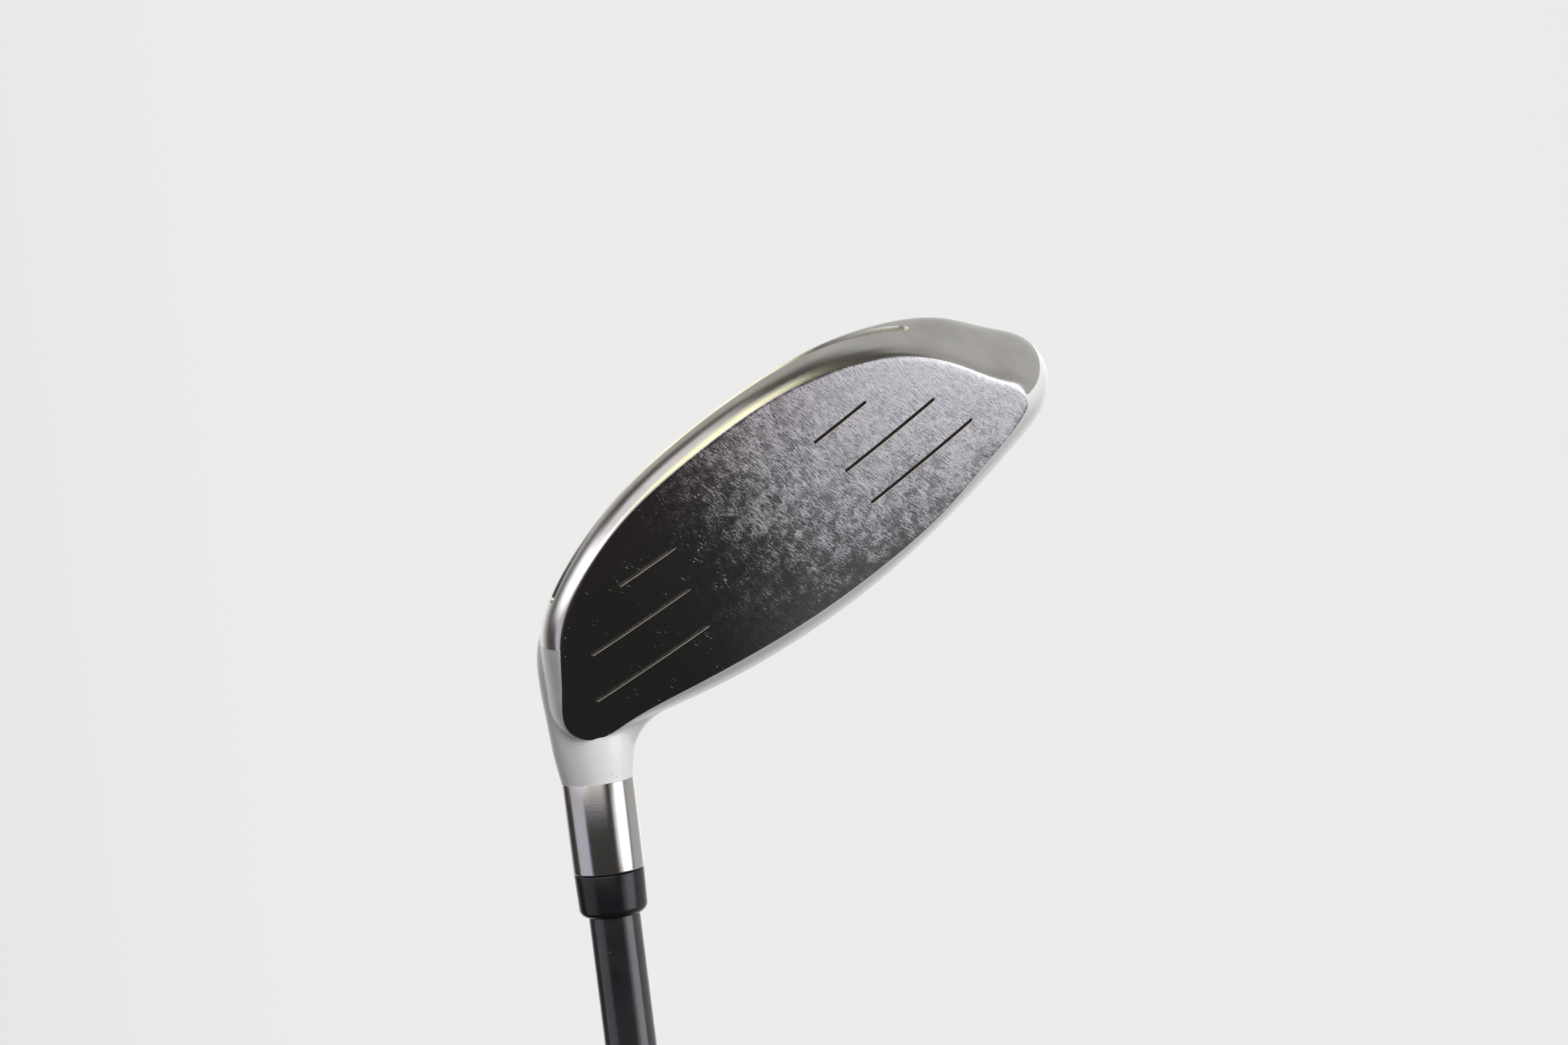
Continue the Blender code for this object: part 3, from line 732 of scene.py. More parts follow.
def make_sole():
    share = sole_columns()
    at, back, arc, front, rear = sole_frame(share)
    edge = np.linspace(-SLOT_EDGE, SLOT_EDGE, 15)[:, None] * MM
    ones = np.ones(len(at))
    arcs = np.concatenate([
        LIP_ARCS[:, None] * ones,
        between(LIP_REACH * ones, front + edge[0], 8),
        front + edge,
        between(front + edge[-1], rear + edge[0], 8),
        rear + edge,
        between(rear + edge[-1], arc[-1], 56, 1.25),
        arc[-1:],
    ])
    backs = at_arcs(back, arc, arcs)
    points = sole_skin(share[None, :], backs)
    points[:INSET_ROWS + 1] = rounded_lip(at, lip_weight(at))[0][INSET_ROWS:]
    normals = facing_out(points, grid_normals(points), np.array(TAIL) * 0.5)
    sink = slot_depth(share, arcs, front, rear, CHANNEL_DEPTH)
    top = points + normals * (PROUD - sink)[..., None]
    return shell("sole_bare_steel", to_row(top), to_row(top - normals * SOLE_THICK))


def make_liner():
    """Floor of the sole slot, with the fine crosswise ribs of its filler."""
    low, high = SLOT_ENDS
    share = np.linspace(low + 0.004, high - 0.004, 900)
    at, back, arc, front, rear = sole_frame(share)
    front, rear = front + LINER_MARGIN, rear - LINER_MARGIN
    arcs = np.concatenate([front[None, :], between(front, rear, 7), rear[None, :]])
    points = sole_skin(share[None, :], at_arcs(back, arc, arcs))
    normals = facing_out(points, grid_normals(points), np.array(TAIL) * 0.5)
    run = share * SOLE_LENGTH / MM
    ribs = np.clip(np.sin(run * 4.1) + 0.6 * np.sin(run * 2.63 + 1.0), 0.0, 1.0)
    crown = 1.0 - np.linspace(-1.0, 1.0, len(arcs)) ** 2
    lift = (0.10 * ribs[None, :] + 0.12 * crown[:, None]) * MM
    top = points - normals * (LINER_DEPTH - lift)[..., None]
    return shell("sole_slot_filler", to_row(top), to_row(points - normals * LINER_THICK))


# ---- painted crown and neck

def smoothed_neck():
    """Neck radius against distance down from the face centre's level, without corners."""
    z = np.linspace(NECK[0][1], NECK[-1][1], 400)
    rows = np.array(NECK)
    radius = np.interp(z, rows[:, 1], rows[:, 0])
    hosel = z > NECK_TOP / MM
    for _ in range(NECK_PASSES):
        radius[1:-1] = radius[:-2] / 4.0 + radius[1:-1] / 2.0 + radius[2:] / 4.0
        radius[hosel] = HOSEL_R / MM
        radius[0] = 0.0
    return z * MM, radius * MM


NECK_Z, NECK_RADIUS = smoothed_neck()
NECK_SLOPE = np.gradient(NECK_RADIUS, NECK_Z)


def neck_field(points):
    """Signed distance to the neck, and its direction, for points in the row frame."""
    depth = FACE_Z - points[:, 2]
    reach = np.hypot(points[:, 0], points[:, 1])
    radius = np.interp(depth, NECK_Z, NECK_RADIUS)
    slope = np.interp(depth, NECK_Z, NECK_SLOPE)
    steep = np.sqrt(1.0 + slope * slope)
    away = np.where(depth < NECK_Z[0], np.hypot(reach, NECK_Z[0] - depth), (reach - radius) / steep)
    flat = points[:, :2] / np.maximum(reach, 1e-9)[:, None] / steep[:, None]
    normal = np.concatenate([flat, (slope / steep)[:, None]], axis=1)
    return away, normal


def head_reference():
    """The whole head as one fine closed surface: its object, face grid and `back` of each row."""
    at = np.arange(960) / 960
    rows = read_ring(RIM_ROWS, at)[:, :2]
    front = face_rings(rows, (0.1, 0.3, 0.5, 0.7, 0.85, 0.95))
    backs = np.concatenate([np.linspace(0.0, 1.0, 26), 1.0 + np.linspace(0.025, 0.985, 44)])
    rings = to_row(np.array(front + [skin(at, back) for back in backs]))
    solid = loft("head_reference", rings, to_row(on_face(*FACE_MIDDLE)), to_row(np.array(TAIL)))
    return solid, at, np.concatenate([np.full(len(front), -1.0), backs])


def nearest_on(tree, points):
    """Nearest spots, normals and face numbers on a surface."""
    found = zip(*(tree.find_nearest(point) for point in points))
    return [np.array(column) for column in found][:3]


def relax(points, pairs, count, share):
    """One step of evening out along the mesh's edges."""
    total = np.zeros_like(points)
    np.add.at(total, pairs[:, 0], points[pairs[:, 1]])
    np.add.at(total, pairs[:, 1], points[pairs[:, 0]])
    return points + (total / count[:, None] - points) * share


def to_blend(tree, points):
    """Moves points on to the head and neck joined by a fillet, which fades out at the face."""
    spots, head_out, _ = nearest_on(tree, points)
    head = ((points - spots) * head_out).sum(axis=1)
    neck, neck_out = neck_field(points)
    local = (points - HEAD_PLACE) @ HEAD_TURN
    up = local[:, 2] / cos(LOFT)
    behind = on_face(local[:, 0], up)[:, 1] - local[:, 1]
    apart = 1.0 - (head_out * neck_out).sum(axis=1)
    width = FILLET * smooth(behind, *FILLET_FADE) * smooth(apart, 0.15, 0.9) + 1e-7
    share = np.maximum(width - np.abs(head - neck), 0.0) / width
    field = np.minimum(head, neck) - share * share * width / 4.0
    near = np.where(head < neck, 1.0 - share / 2.0, share / 2.0)[:, None]
    slope = head_out * near + neck_out * (1.0 - near)
    length = np.maximum((slope * slope).sum(axis=1), 0.2)
    step = np.clip(field / length, -0.5 * MM, 0.5 * MM)
    return points - slope * step[:, None]


def edge_pairs(mesh):
    pairs = read_out(mesh.edges, "vertices", 2, np.int64)
    count = np.bincount(pairs.ravel(), minlength=len(mesh.vertices)).astype(float)
    return pairs, count


def covered(points, faces, at, backs):
    """How far inside the bare metal's area each point is, or a negative distance outside it."""
    columns = len(at)
    row = np.clip(faces // columns, 0, len(backs) - 2)
    row = np.where(faces >= (len(backs) - 1) * columns + columns, len(backs) - 2, row)
    row = np.where((faces >= (len(backs) - 1) * columns) & (faces < len(backs) * columns), 0, row)
    back = (backs[row] + backs[row + 1]) / 2.0
    place = (faces % columns + 0.5) / columns
    share = (place - SOLE_FROM) / (sole_limit(back) - SOLE_FROM)
    in_sole = (share > 0.0) & (share < 1.0) & (back < sole_end(np.clip(share, 0.0, 1.0)))
    inside = (back < 0.0) | in_sole
    line = [skin(np.linspace(SOLE_TO, 1.0 + SOLE_FROM, 2500), 0.0)]
    for end in (0.0, 1.0):
        steps = np.linspace(0.0, float(sole_end(end)), 900)
        line.append(sole_skin(np.full(900, end), steps))
    shares = np.linspace(0.0, 1.0, 900)
    line.append(sole_skin(shares, sole_end(shares)))
    line = to_row(np.concatenate(line))
    tree = KDTree(len(line))
    for i, point in enumerate(line):
        tree.insert(point, i)
    tree.balance()
    distance = np.array([tree.find(p)[2] for p in points])
    return np.where(inside, distance, -distance)


def make_paint():
    """Painted crown, skirt and neck: one shell with a fillet, tucked under the bare metal."""
    solid, at, backs = head_reference()
    source = solid.data
    corners = [tuple(v.co) for v in source.vertices]
    tree = BVHTree.FromPolygons(corners, [tuple(p.vertices) for p in source.polygons])
    neck = lathe("neck_reference", [(r, FACE_Z - z) for z, r in zip(NECK_Z[::4], NECK_RADIUS[::4])]
                 + [(0.0, FACE_Z - NECK_Z[-1])])
    work = bmesh.new()
    work.from_mesh(source)
    work.from_mesh(neck.data)
    joined = bpy.data.meshes.new("painted_crown_and_neck")
    work.to_mesh(joined)
    work.free()
    piece = placed("painted_crown_and_neck", joined)
    for old in (solid, neck):
        bpy.data.objects.remove(old)
    remesh = piece.modifiers.new("remesh", "REMESH")
    remesh.mode = "VOXEL"
    remesh.voxel_size = VOXEL
    apply_modifiers(piece, 0.0)
    mesh = piece.data
    pairs, count = edge_pairs(mesh)
    points = relax(read_out(mesh.vertices, "co", 3), pairs, count, 0.5)
    for _ in range(4):
        points = to_blend(tree, points)
        points = relax(points, pairs, count, 0.35)
    points = to_blend(tree, to_blend(tree, points))
    points = relax(points, pairs, count, 0.3)
    _, normals, faces = nearest_on(tree, points)
    cover = covered(points, faces, at, backs)
    away, _ = neck_field(points)
    cover = np.where(away < 0.2 * MM, np.minimum(cover, 0.0), cover)
    points -= normals * (TUCK * smooth(cover, *TUCK_FADE))[:, None]
    mesh.vertices.foreach_set("co", points.ravel())
    mesh.update()
    work = bmesh.new()
    work.from_mesh(mesh)
    work.verts.ensure_lookup_table()
    hidden = [f for f in work.faces if all(cover[v.index] > HIDDEN_FROM for v in f.verts)]
    bmesh.ops.delete(work, geom=hidden, context="FACES")
    plane = dict(plane_co=(0.0, 0.0, down(NECK_TOP)), plane_no=(0.0, 0.0, -1.0))
    bmesh.ops.bisect_plane(work, geom=work.verts[:] + work.edges[:] + work.faces[:],
                           clear_outer=True, **plane)
    work.to_mesh(mesh)
    work.free()
    thick = piece.modifiers.new("wall", "SOLIDIFY")
    thick.thickness = PAINT_THICK
    thick.offset = -1.0
    apply_modifiers(piece, 40.0)
    return piece


# ---- hosel, ferrule, shaft and grip

def corner(radius, z, size, turn_from, turn_to, steps=5):
    """Points of a rounded corner about (radius, z), by angles in degrees."""
    angles = np.radians(np.linspace(turn_from, turn_to, steps))
    return [(radius + size * cos(a), z + size * sin(a)) for a in angles]


def make_hosel():
    top, low = down(NECK_TOP), down(HOSEL_END)
    bore = TIP_R + GAP
    rim, edge = HOSEL_EDGES
    profile = [(bore, top), (HOSEL_R - rim, top)]
    profile += corner(HOSEL_R - rim, top - rim, rim, 60.0, 0.0, 3)
    profile += corner(HOSEL_R - edge, low + edge, edge, 0.0, -90.0)
    return lathe("hosel_band", profile + [(bore, low)], 160)


def make_ferrule():
    top, low = down(HOSEL_END) - GAP / 2.0, down(FERRULE_END)
    inner = TIP_R + FERRULE_CLEAR
    edge, soft = FERRULE_EDGE, FERRULE_ROUNDING
    profile = [(inner, top)]
    profile += corner(FERRULE_TOP_R - edge, top - edge, edge, 90.0, 0.0, 4)
    profile += corner(FERRULE_R - soft, low + soft, soft, 0.0, -82.0, 9)
    return lathe("ferrule_collar", profile + [(inner, low + 0.1 * MM)], 128)


def heights(node):
    """Heights of a CAD node's lower and upper ends."""
    low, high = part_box(node)
    return low.z, high.z


def make_shaft():
    """Tapered tube whose thick lacquer leaves faint low rings along it."""
    low, high = heights("shaft")
    tip = high - TIP_STRAIGHT
    wall_tip, wall_butt = TIP_R - TIP_WALL, BUTT_R - BUTT_WALL
    profile = [(wall_tip, high), (TIP_R - TIP_CHAMFER, high), (TIP_R, high - TIP_CHAMFER)]
    for z in np.linspace(high - 1.0 * MM, low + 1.0 * MM, 700):
        share = min(max((tip - z) / (tip - BUTT_STRAIGHT), 0.0), 1.0)
        ripple = RING_HEIGHT * sin(z * 2.0 * pi / RING_PITCH)
        profile.append((TIP_R + (BUTT_R - TIP_R) * share + ripple, z))
    profile += [(BUTT_R, low), (wall_butt, low), (wall_butt, BUTT_STRAIGHT), (wall_tip, tip)]
    return lathe("shaft_lacquered", profile, 72)


def make_grip():
    """Rubber sleeve with two bands of slanting cuts, ring cuts between them and a rolled mouth."""
    low, high = heights("grip_sleeve")
    bore = BUTT_R + 2.0 * GAP + TAPE_WALL
    rows, columns = 620, 144
    z = np.linspace(high, low, rows)
    share = (high - z) / (high - low)
    radius = GRIP_MOUTH_R + (GRIP_BUTT_R - GRIP_MOUTH_R) * share ** GRIP_TAPER
    mouth = np.clip((high - z) / MOUTH_ROUNDING[0], 0.0, 1.0)
    radius -= MOUTH_ROUNDING[1] * (1.0 - np.sqrt(1.0 - (1.0 - mouth) ** 2))
    turn = np.arange(columns) * 2.0 * pi / columns
    across, along = np.meshgrid(turn, z)
    band = np.zeros_like(along)
    for start, end in ((low + 12.0 * MM, low + 122.0 * MM), (low + 134.0 * MM, high - 26.0 * MM)):
        rise = smooth(along, start, start + BAND_FADE)
        band += rise * (1.0 - smooth(along, end - BAND_FADE, end))
    slant = along * 2.0 * pi / CUT_PITCH
    weave = np.minimum(np.abs(np.sin(across * 6.0 + slant)), np.abs(np.sin(across * 6.0 - slant)))
    cuts = (1.0 - smooth(weave, 0.06, 0.30)) * band
    rings = np.zeros_like(along)
    for middle in (low + 7.0 * MM, low + 126.0 * MM, high - 12.0 * MM, high - 16.0 * MM,
                   high - 20.0 * MM):
        rings = np.maximum(rings, 1.0 - smooth(np.abs(along - middle), 0.3 * MM, 0.9 * MM))
    spread = radius[:, None] - CUT_DEPTH * np.maximum(cuts, rings)
    outer = np.stack([spread * np.cos(across), spread * np.sin(across), along], axis=-1)
    inner = np.stack([bore * np.cos(across), bore * np.sin(across), along], axis=-1)
    return shell("grip_moulded_sleeve", outer, inner, wrap=True)


def make_cap():
    """Butt cap with a rounded edge, a shallow dish and its vent hole."""
    high = heights("grip_cap")[1]
    soft = CAP_EDGE
    profile = [(CAP_DISH[-1][0] * MM, high), (GRIP_BUTT_R - 0.1 * MM, high),
               (GRIP_BUTT_R, high - 0.1 * MM)]
    profile += corner(GRIP_BUTT_R - soft, soft, soft, 0.0, -90.0, 7)
    profile += [(radius * MM, z * MM) for radius, z in CAP_DISH]
    return lathe("grip_butt_cap", profile, 96)


# ---- materials

# Scuff layers: slant in degrees, fineness across and along, and where the streaks start and end
SCUFFS = (
    (-22.0, 5.5, 0.60, 0.46, 0.72),
    (-8.0, 4.2, 0.50, 0.50, 0.76),
    (-36.0, 8.0, 1.30, 0.48, 0.78),
)


def steel_polished():
    """Face: near-mirror steel, worn to a mesh of short light scuffs from the middle to the toe."""
    n = Material("face_polished_steel")
    head = n.head()
    x, _, z = n.parts(head)
    wear = n.ramp(x, -32.0, 24.0)
    wear = n.times(wear, n.ramp(n.noise(head, 0.13, 2.0), 0.25, 0.55, 0.65, 1.0))
    wear = n.times(wear, n.ramp(z, 9.0, 20.0, 1.0, 0.5))
    lip = n.ramp(behind_face(n, head), -0.03, 0.14)
    wear = n.times(wear, n.minus(1.0, n.times(lip, 0.85)))
    slanted = n.tilted(head, SCUFFS[0][0])
    clump = n.ramp(n.noise(n.stretch(slanted, 2.6, 0.4, 1.0), 1.0, 5.0, 0.7), 0.34, 0.70)
    wide = n.ramp(n.noise(head, 0.45, 3.0, 0.6), 0.35, 0.65, 0.40, 1.05)
    streaks = None
    for angle, across, along, low, high in SCUFFS:
        where = n.stretch(n.tilted(head, angle), across, 0.4, along)
        line = n.ramp(n.noise(where, 1.0, 2.0, 0.6), low, high)
        streaks = line if streaks is None else n.larger(streaks, line)
    flecks = n.ramp(n.noise(n.stretch(slanted, 6.5, 0.4, 1.1), 1.0, 1.0), 0.66, 0.77)
    sparse = n.times(flecks, n.ramp(n.noise(head, 0.22, 2.0), 0.50, 0.66))
    haze = n.plus(n.times(streaks, 0.85), n.times(clump, 0.40))
    scuff = n.times(n.times(haze, wide), wear)
    scuff = n.math("MINIMUM", n.plus(scuff, n.times(sparse, 0.5)), 1.0)
    tint = n.mix(n.ramp(z, -6.0, -20.0), (0.29, 0.285, 0.28), (0.36, 0.27, 0.285))
    base = n.mix(wear, tint, (0.34, 0.33, 0.345))
    base = n.mix(lip, base, (0.66, 0.65, 0.65))
    base = n.mix(scuff, base, (1.0, 0.98, 1.0))
    rough = n.larger(n.plus(n.times(wear, 0.14), 0.09), n.times(scuff, 0.75))
    fine = n.noise(n.stretch(n.tilted(head, SCUFFS[1][0]), 8.0, 0.5, 0.8), 1.0, 3.0)
    height = n.plus(n.times(fine, n.plus(wear, 0.06)), n.times(scuff, 0.8))
    return n.finished(base, rough, height, 0.50, 0.07, Metallic=1.0)


def groove_painted_shade():
    """Score lines: painted shade in the grooves, near black towards the toe and a duller grey
    towards the heel.
    """
    n = Material("score_line_painted_shade")
    head = n.head()
    grit = n.noise(head, 1.8, 3.0, 0.6)
    speck = n.ramp(grit, 0.35, 0.65)
    # Painted shade: the groove colour stands for the shade inside the recesses, darker towards the
    # toe than towards the heel.
    heel_shade = n.mix(speck, (0.06, 0.058, 0.055), (0.12, 0.115, 0.11))
    toe_shade = n.mix(speck, (0.012, 0.012, 0.011), (0.03, 0.028, 0.026))
    base = n.mix(n.ramp(n.parts(head)[0], -8.0, 8.0), heel_shade, toe_shade)
    return n.finished(base, n.plus(n.times(grit, 0.3), 0.5), grit, 0.4, 0.06, Metallic=0.4)


def steel_satin():
    """Sole: brushed satin steel with light bag scratches, duller at the toe behind the lip."""
    n = Material("sole_satin_steel")
    head = n.head()
    brush = n.noise(n.stretch(head, 0.25, 5.5, 5.5), 1.0, 4.0, 0.6)
    cloud = n.ramp(n.noise(head, 0.12, 3.0), 0.35, 0.65)
    lengthwise = n.stretch(n.tilted(head, 25.0), 6.0, 1.1, 0.7)
    scratch = n.ramp(n.noise(lengthwise, 1.0, 2.0), 0.70, 0.84)
    base = n.mix(cloud, (0.60, 0.585, 0.555), (0.68, 0.665, 0.64))
    base = n.mix(n.times(scratch, 0.6), base, (0.9, 0.9, 0.9))
    dull = n.times(n.ramp(n.parts(head)[0], 14.0, 42.0), n.ramp(behind_face(n, head), 2.0, 6.5))
    rough = n.plus(n.times(brush, 0.14), n.ramp(dull, 0.0, 1.0, 0.15, 0.34))
    rough = n.plus(rough, n.times(scratch, 0.12))
    height = n.plus(brush, n.times(scratch, -0.6))
    return n.finished(base, rough, height, 0.18, 0.03, Metallic=1.0)


def steel_turned():
    """Hosel band: bare turned steel with fine rings and a few handling marks."""
    n = Material("hosel_turned_steel")
    rings = n.noise(n.stretch(n.mm, 0.25, 0.25, 7.0), 1.0, 4.0, 0.65)
    grain = n.noise(n.stretch(n.mm, 3.0, 3.0, 7.0), 1.0, 3.0, 0.7)
    warm = n.ramp(n.noise(n.mm, 0.30, 2.0), 0.40, 0.65)
    base = n.mix(warm, (0.60, 0.60, 0.61), (0.62, 0.585, 0.54))
    base = n.mix(n.ramp(grain, 0.60, 0.80), base, (0.85, 0.85, 0.86))
    height = n.plus(rings, n.times(grain, 0.6))
    return n.finished(base, n.plus(n.times(rings, 0.12), 0.08), height, 0.25, 0.03, Metallic=1.0)


def paint_white():
    """Crown and neck: pearly white paint with a trace of orange peel, dust and small chips."""
    n = Material("white_paint")
    cloud = n.ramp(n.noise(n.mm, 0.09, 3.0), 0.35, 0.65)
    base = n.mix(cloud, (0.80, 0.81, 0.81), (0.86, 0.86, 0.855))
    grime = n.ramp(n.noise(n.mm, 0.8, 5.0, 0.7), 0.62, 0.80)
    base = n.mix(n.times(grime, 0.35), base, (0.45, 0.43, 0.42))
    chips = n.ramp(n.noise(n.mm, 1.6, 2.0, 0.4), 0.765, 0.785)
    base = n.mix(chips, base, (0.30, 0.29, 0.29))
    height = n.minus(n.noise(n.mm, 1.1, 2.0), n.times(chips, 2.0))
    return n.finished(base, n.plus(n.times(grime, 0.2), 0.34), height, 0.10, 0.04,
                      Coat_Weight=0.35, Coat_Roughness=0.18)


def slot_filler():
    """Slot floor: olive filler with bright yellow specks, partly grit caught in it and partly a
    painted sparkle.
    """
    n = Material("slot_filler")
    head = n.head()
    grit = n.noise(head, 1.6, 4.0, 0.7)
    lines = n.ramp(n.noise(n.stretch(head, 3.0, 0.6, 0.6), 1.0, 2.0), 0.35, 0.65)
    base = n.mix(lines, (0.33, 0.31, 0.16), (0.52, 0.50, 0.36))
    # Painted sparkle: the bright yellow specks stand partly for grit and partly for glints of light
    # in the slot.
    base = n.mix(n.ramp(grit, 0.60, 0.72), base, (0.75, 0.72, 0.42))
    return n.finished(base, n.plus(n.times(grit, 0.4), 0.25), grit, 0.4, 0.10, Metallic=0.35)


def black_plastic():
    """Ferrule: glossy black plastic with hairline polishing marks round it."""
    n = Material("ferrule_black_plastic")
    marks = n.noise(n.stretch(n.mm, 0.4, 0.4, 6.0), 1.0, 3.0, 0.6)
    dust = n.ramp(n.noise(n.mm, 2.4, 2.0), 0.74, 0.80)
    base = n.mix(n.ramp(marks, 0.3, 0.7), (0.006, 0.007, 0.009), (0.010, 0.011, 0.013))
    base = n.mix(n.times(dust, 0.5), base, (0.16, 0.16, 0.16))
    return n.finished(base, n.plus(n.times(marks, 0.12), 0.20), marks, 0.12, 0.03,
                      Specular_IOR_Level=0.35, Coat_Weight=0.2, Coat_Roughness=0.12)


def lacquered_graphite():
    """Shaft: black lacquer over wrapped graphite, with a few light nicks and dust specks."""
    n = Material("shaft_black_lacquer")
    fibre = n.noise(n.stretch(n.mm, 2.2, 2.2, 0.12), 1.0, 4.0, 0.6)
    cloud = n.noise(n.mm, 0.14, 3.0)
    base = n.mix(n.ramp(cloud, 0.3, 0.7), (0.010, 0.011, 0.013), (0.017, 0.018, 0.022))
    base = n.mix(n.times(n.ramp(fibre, 0.55, 0.75), 0.5), base, (0.028, 0.029, 0.033))
    nicks = n.ramp(n.noise(n.stretch(n.mm, 1.3, 1.3, 3.2), 1.0, 2.0, 0.45), 0.735, 0.775)
    base = n.mix(nicks, base, (0.30, 0.30, 0.31))
    rough = n.larger(n.plus(n.times(cloud, 0.16), 0.22), n.times(nicks, 0.6))
    height = n.minus(n.times(fibre, 0.4), nicks)
    return n.finished(base, rough, height, 0.12, 0.05, Coat_Weight=0.8, Coat_Roughness=0.10)


def rubber(name, dark, light, scale):
    """Moulded rubber: fine pebble, dusty in places, with slight shine on the worn parts."""
    n = Material(name)
    pebble = n.noise(n.mm, scale, 3.0, 0.6)
    dust = n.ramp(n.noise(n.mm, 0.10, 4.0, 0.6), 0.42, 0.70)
    base = n.mix(n.times(n.ramp(pebble, 0.55, 0.80), 0.4), n.mix(dust, dark, light),
                 (0.055, 0.055, 0.055))
    rough = n.plus(n.times(dust, 0.18), 0.60)
    return n.finished(base, rough, pebble, 0.45, 0.12, Sheen_Weight=0.08)


def grip_rubber():
    return rubber("grip_rubber", (0.016, 0.016, 0.017), (0.030, 0.030, 0.031), 2.2)


def cap_rubber():
    return rubber("cap_rubber", (0.018, 0.018, 0.019), (0.034, 0.034, 0.034), 2.6)


def speckled(name, low, high, scale, metallic, roughness):
    """Plain material with cloudy colour and a fine grain, for the pieces inside."""
    n = Material(name)
    grain = n.noise(n.mm, scale, 4.0, 0.6)
    base = n.mix(n.ramp(grain, 0.35, 0.65), low, high)
    rough = n.plus(n.times(grain, 0.2), roughness)
    return n.finished(base, rough, grain, 0.3, 0.1, Metallic=metallic)


# ---- light, floor and camera

# Light panels: turn from -Y towards +X and climb, both in degrees, then edge softness and colour
PANELS = (
    ((84, 190), (-60, 78), (16, 24), (0.55, 0.545, 0.54)),
    ((-190, -147), (-60, 78), (10, 24), (0.52, 0.51, 0.49)),
    ((142, 190), (-40, 16), (26, 16), (1.25, 1.25, 1.25)),
    ((-190, -160), (-40, 14), (16, 16), (1, 1, 1)),
    ((62, 88), (0, 60), (10, 24), (0.43, 0.425, 0.42)),
    ((-118, 10), (2, 70), (18, 16), (0.95, 0.92, 0.95)),
    ((-111, -62), (-36, 2), (8, 12), (0.62, 0.60, 0.68)),
    ((-50, 10), (22, 62), (24, 16), (1.65, 1.58, 0.98)),
    ((-128, -42), (8, 30), (22, 12), (2.10, 2.05, 2.30)),
    ((-14, 12), (14, 34), (12, 14), (1.75, 1.70, 1.55)),
    ((30, 64), (-21, 4), (10, 12), (1.1, 1.08, 1.07)),
    ((42, 76), (-24, 11), (8, 7), (2.5, 2.48, 2.65)),
    ((40, 75), (-54, -24), (16, 8), (0.24, 0.235, 0.24)),
)


def within(n, angle, span, softness):
    """1 inside a span of angles, fading to 0 over the softness at each end."""
    off = n.math("ABSOLUTE", n.minus(angle, (span[0] + span[1]) / 2.0))
    wide = span[1] - span[0]
    return n.ramp(off, (wide + softness) / 2.0, (wide - softness) / 2.0)


def studio():
    """Pale background for the camera, and for reflections a dark room lit by soft panels."""
    world = bpy.data.worlds.new("studio")
    bpy.context.scene.world = world
    world.use_nodes = True
    world.cycles_visibility.diffuse = False
    tree = world.node_tree
    tree.nodes.clear()
    n = Nodes(tree)
    x, y, z = n.parts(n.add("ShaderNodeTexCoord").outputs["Generated"])
    turn = n.times(n.math("ARCTAN2", x, n.times(y, -1.0)), 180.0 / pi)
    climb = n.times(n.math("ARCSINE", z), 180.0 / pi)
    light = n.mix(n.ramp(climb, -70.0, 70.0), (0.050, 0.048, 0.048), (0.075, 0.072, 0.060))
    for turns, climbs, (soft_turn, soft_climb), colour in PANELS:
        share = n.times(within(n, turn, turns, soft_turn), within(n, climb, climbs, soft_climb))
        light = n.mix(share, light, colour)
    view = n.mix(n.ramp(x, -0.10, 0.22), (0.775, 0.765, 0.785), (0.825, 0.825, 0.825))
    beside = n.ramp(n.math("ABSOLUTE", n.minus(x, 0.16)), 0.10, 0.30)
    view = n.mix(beside, (0.835, 0.835, 0.83), view)
    both = n.add("ShaderNodeMixShader", Fac=n.add("ShaderNodeLightPath").outputs["Is Camera Ray"])
    for socket, colour in zip(list(both.inputs)[1:], (light, view)):
        tree.links.new(n.add("ShaderNodeBackground", Color=colour).outputs[0], socket)
    n.add("ShaderNodeOutputWorld", Surface=both.outputs[0])


# Soft lamps that light the paint and rubber but aren't mirrored in the metal: turn, climb, power,
# width in degrees and colour
LAMPS = (
    (38, 22, 2.9, 60, (1, 0.995, 0.985)),
    (-80, 4, 0.75, 150, (0.97, 0.95, 1)),
    (165, 25, 2.1, 100, (1, 1, 1)),
    (-20, 75, 1, 70, (1, 1, 1)),
)


def lamps():
    for number, (turn, climb, power, width, colour) in enumerate(LAMPS):
        lamp = bpy.data.lights.new("lamp_%d" % number, "SUN")
        lamp.energy = power
        lamp.angle = radians(width)
        lamp.color = colour
        made = placed(lamp.name, lamp)
        across, rise = radians(turn), radians(climb)
        toward = Vector((sin(across) * cos(rise), -cos(across) * cos(rise), sin(rise)))
        made.rotation_euler = toward.to_track_quat("Z", "Y").to_euler()
        made.visible_glossy = False


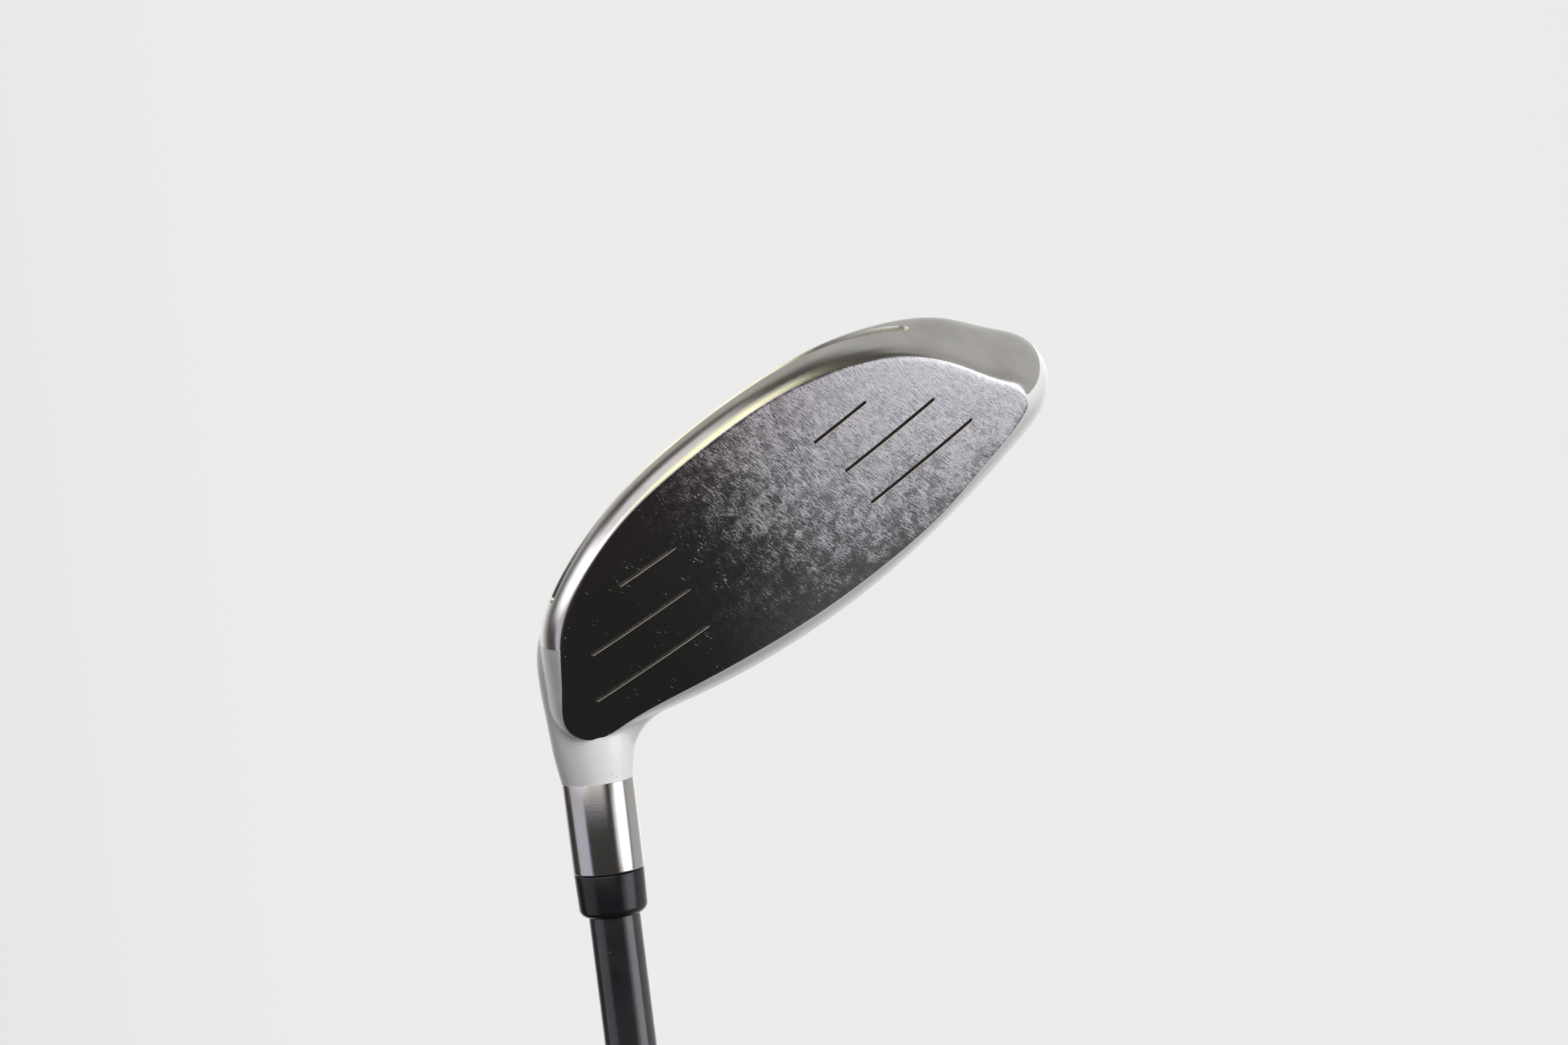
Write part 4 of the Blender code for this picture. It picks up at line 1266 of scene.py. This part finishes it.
def floor():
    """Pale floor that fades out before its edge, and isn't mirrored in the metal."""
    turn = np.arange(FLOOR_SEGMENTS) * 2.0 * pi / FLOOR_SEGMENTS
    points = [(0.0, 0.0, FLOOR_LEVEL)]
    for r in np.linspace(FLOOR_INNER, FLOOR_OUTER, FLOOR_RINGS):
        points += [(r * cos(a), r * sin(a), FLOOR_LEVEL) for a in turn]
    faces = [(0, 1 + i, 1 + (i + 1) % FLOOR_SEGMENTS) for i in range(FLOOR_SEGMENTS)]
    faces += (quads(FLOOR_RINGS, FLOOR_SEGMENTS, True) + 1).tolist()
    made = add_mesh("pale_floor", points, faces, 0.0)
    n = Material("pale_floor")
    tone = n.noise(n.place, 9.0, 3.0)
    reach = n.work("ShaderNodeVectorMath", "LENGTH", (n.place,))["Value"]
    n.put(n.shader.inputs["Base Color"], n.mix(tone, (0.80, 0.80, 0.80), (0.83, 0.83, 0.83)))
    n.put(n.shader.inputs["Alpha"], n.ramp(reach, 1.1, 2.8, 1.0, 0.0))
    n.put(n.shader.inputs["Roughness"], 0.9)
    dress(made, n.made)
    made.visible_glossy = False
    made.visible_diffuse = False


def camera():
    """Close view of the head from its face's side."""
    lens = bpy.data.cameras.new("camera")
    made = placed("camera", lens)
    right, under, ahead = (Vector(axis) for axis in CAMERA_AXES)
    place = Matrix((right, -under, -ahead)).transposed().to_4x4()
    place.translation = Vector(CAMERA_PLACE) * MM + Vector((0.0, 0.0, FACE_Z))
    made.matrix_world = place
    lens.sensor_width = CAMERA_SENSOR
    lens.lens = CAMERA_LENS
    lens.clip_start = 0.01
    lens.clip_end = 100.0
    bpy.context.scene.camera = made


bpy.context.scene.view_settings.view_transform = "Standard"
camera()
studio()
lamps()
floor()

PIECES = (
    (make_face, steel_polished, "face_steel", ("face_plate",)),
    (make_sole, steel_satin, "satin_steel", ("head_body",)),
    (make_hosel, steel_turned, "satin_steel", ("head_body",)),
    (make_liner, slot_filler, "slot_polymer", ("slot_liner",)),
    (make_paint, paint_white, "white_paint", ("crown_shell", "head_body")),
    (make_ferrule, black_plastic, "ferrule_black", ("ferrule",)),
    (make_shaft, lacquered_graphite, "graphite", ("shaft",)),
    (make_grip, grip_rubber, "grip_rubber", ("grip_sleeve",)),
    (make_cap, cap_rubber, "cap_rubber", ("grip_cap",)),
)
for build, finish, slot, nodes in PIECES:
    piece = build()
    dress(piece, finish())
    if build is make_face:
        piece.data.materials.append(groove_painted_shade())
        mark_grooves(piece.data)
    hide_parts(*nodes)
    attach(piece, "root")

INSIDE = (
    ("glue_pad", (0.70, 0.63, 0.40), (0.82, 0.75, 0.52), 0.6, 0.0, 0.35),
    ("tip_pin", (0.55, 0.39, 0.15), (0.68, 0.50, 0.22), 0.8, 1.0, 0.25),
    ("bore_plug", (0.36, 0.24, 0.14), (0.55, 0.40, 0.26), 1.4, 0.0, 0.70),
    ("grip_tape", (0.62, 0.58, 0.46), (0.74, 0.70, 0.58), 0.5, 0.0, 0.70),
)
for node, low, high, scale, metallic, roughness in INSIDE:
    dress(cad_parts[node], speckled(node, low, high, scale, metallic, roughness))
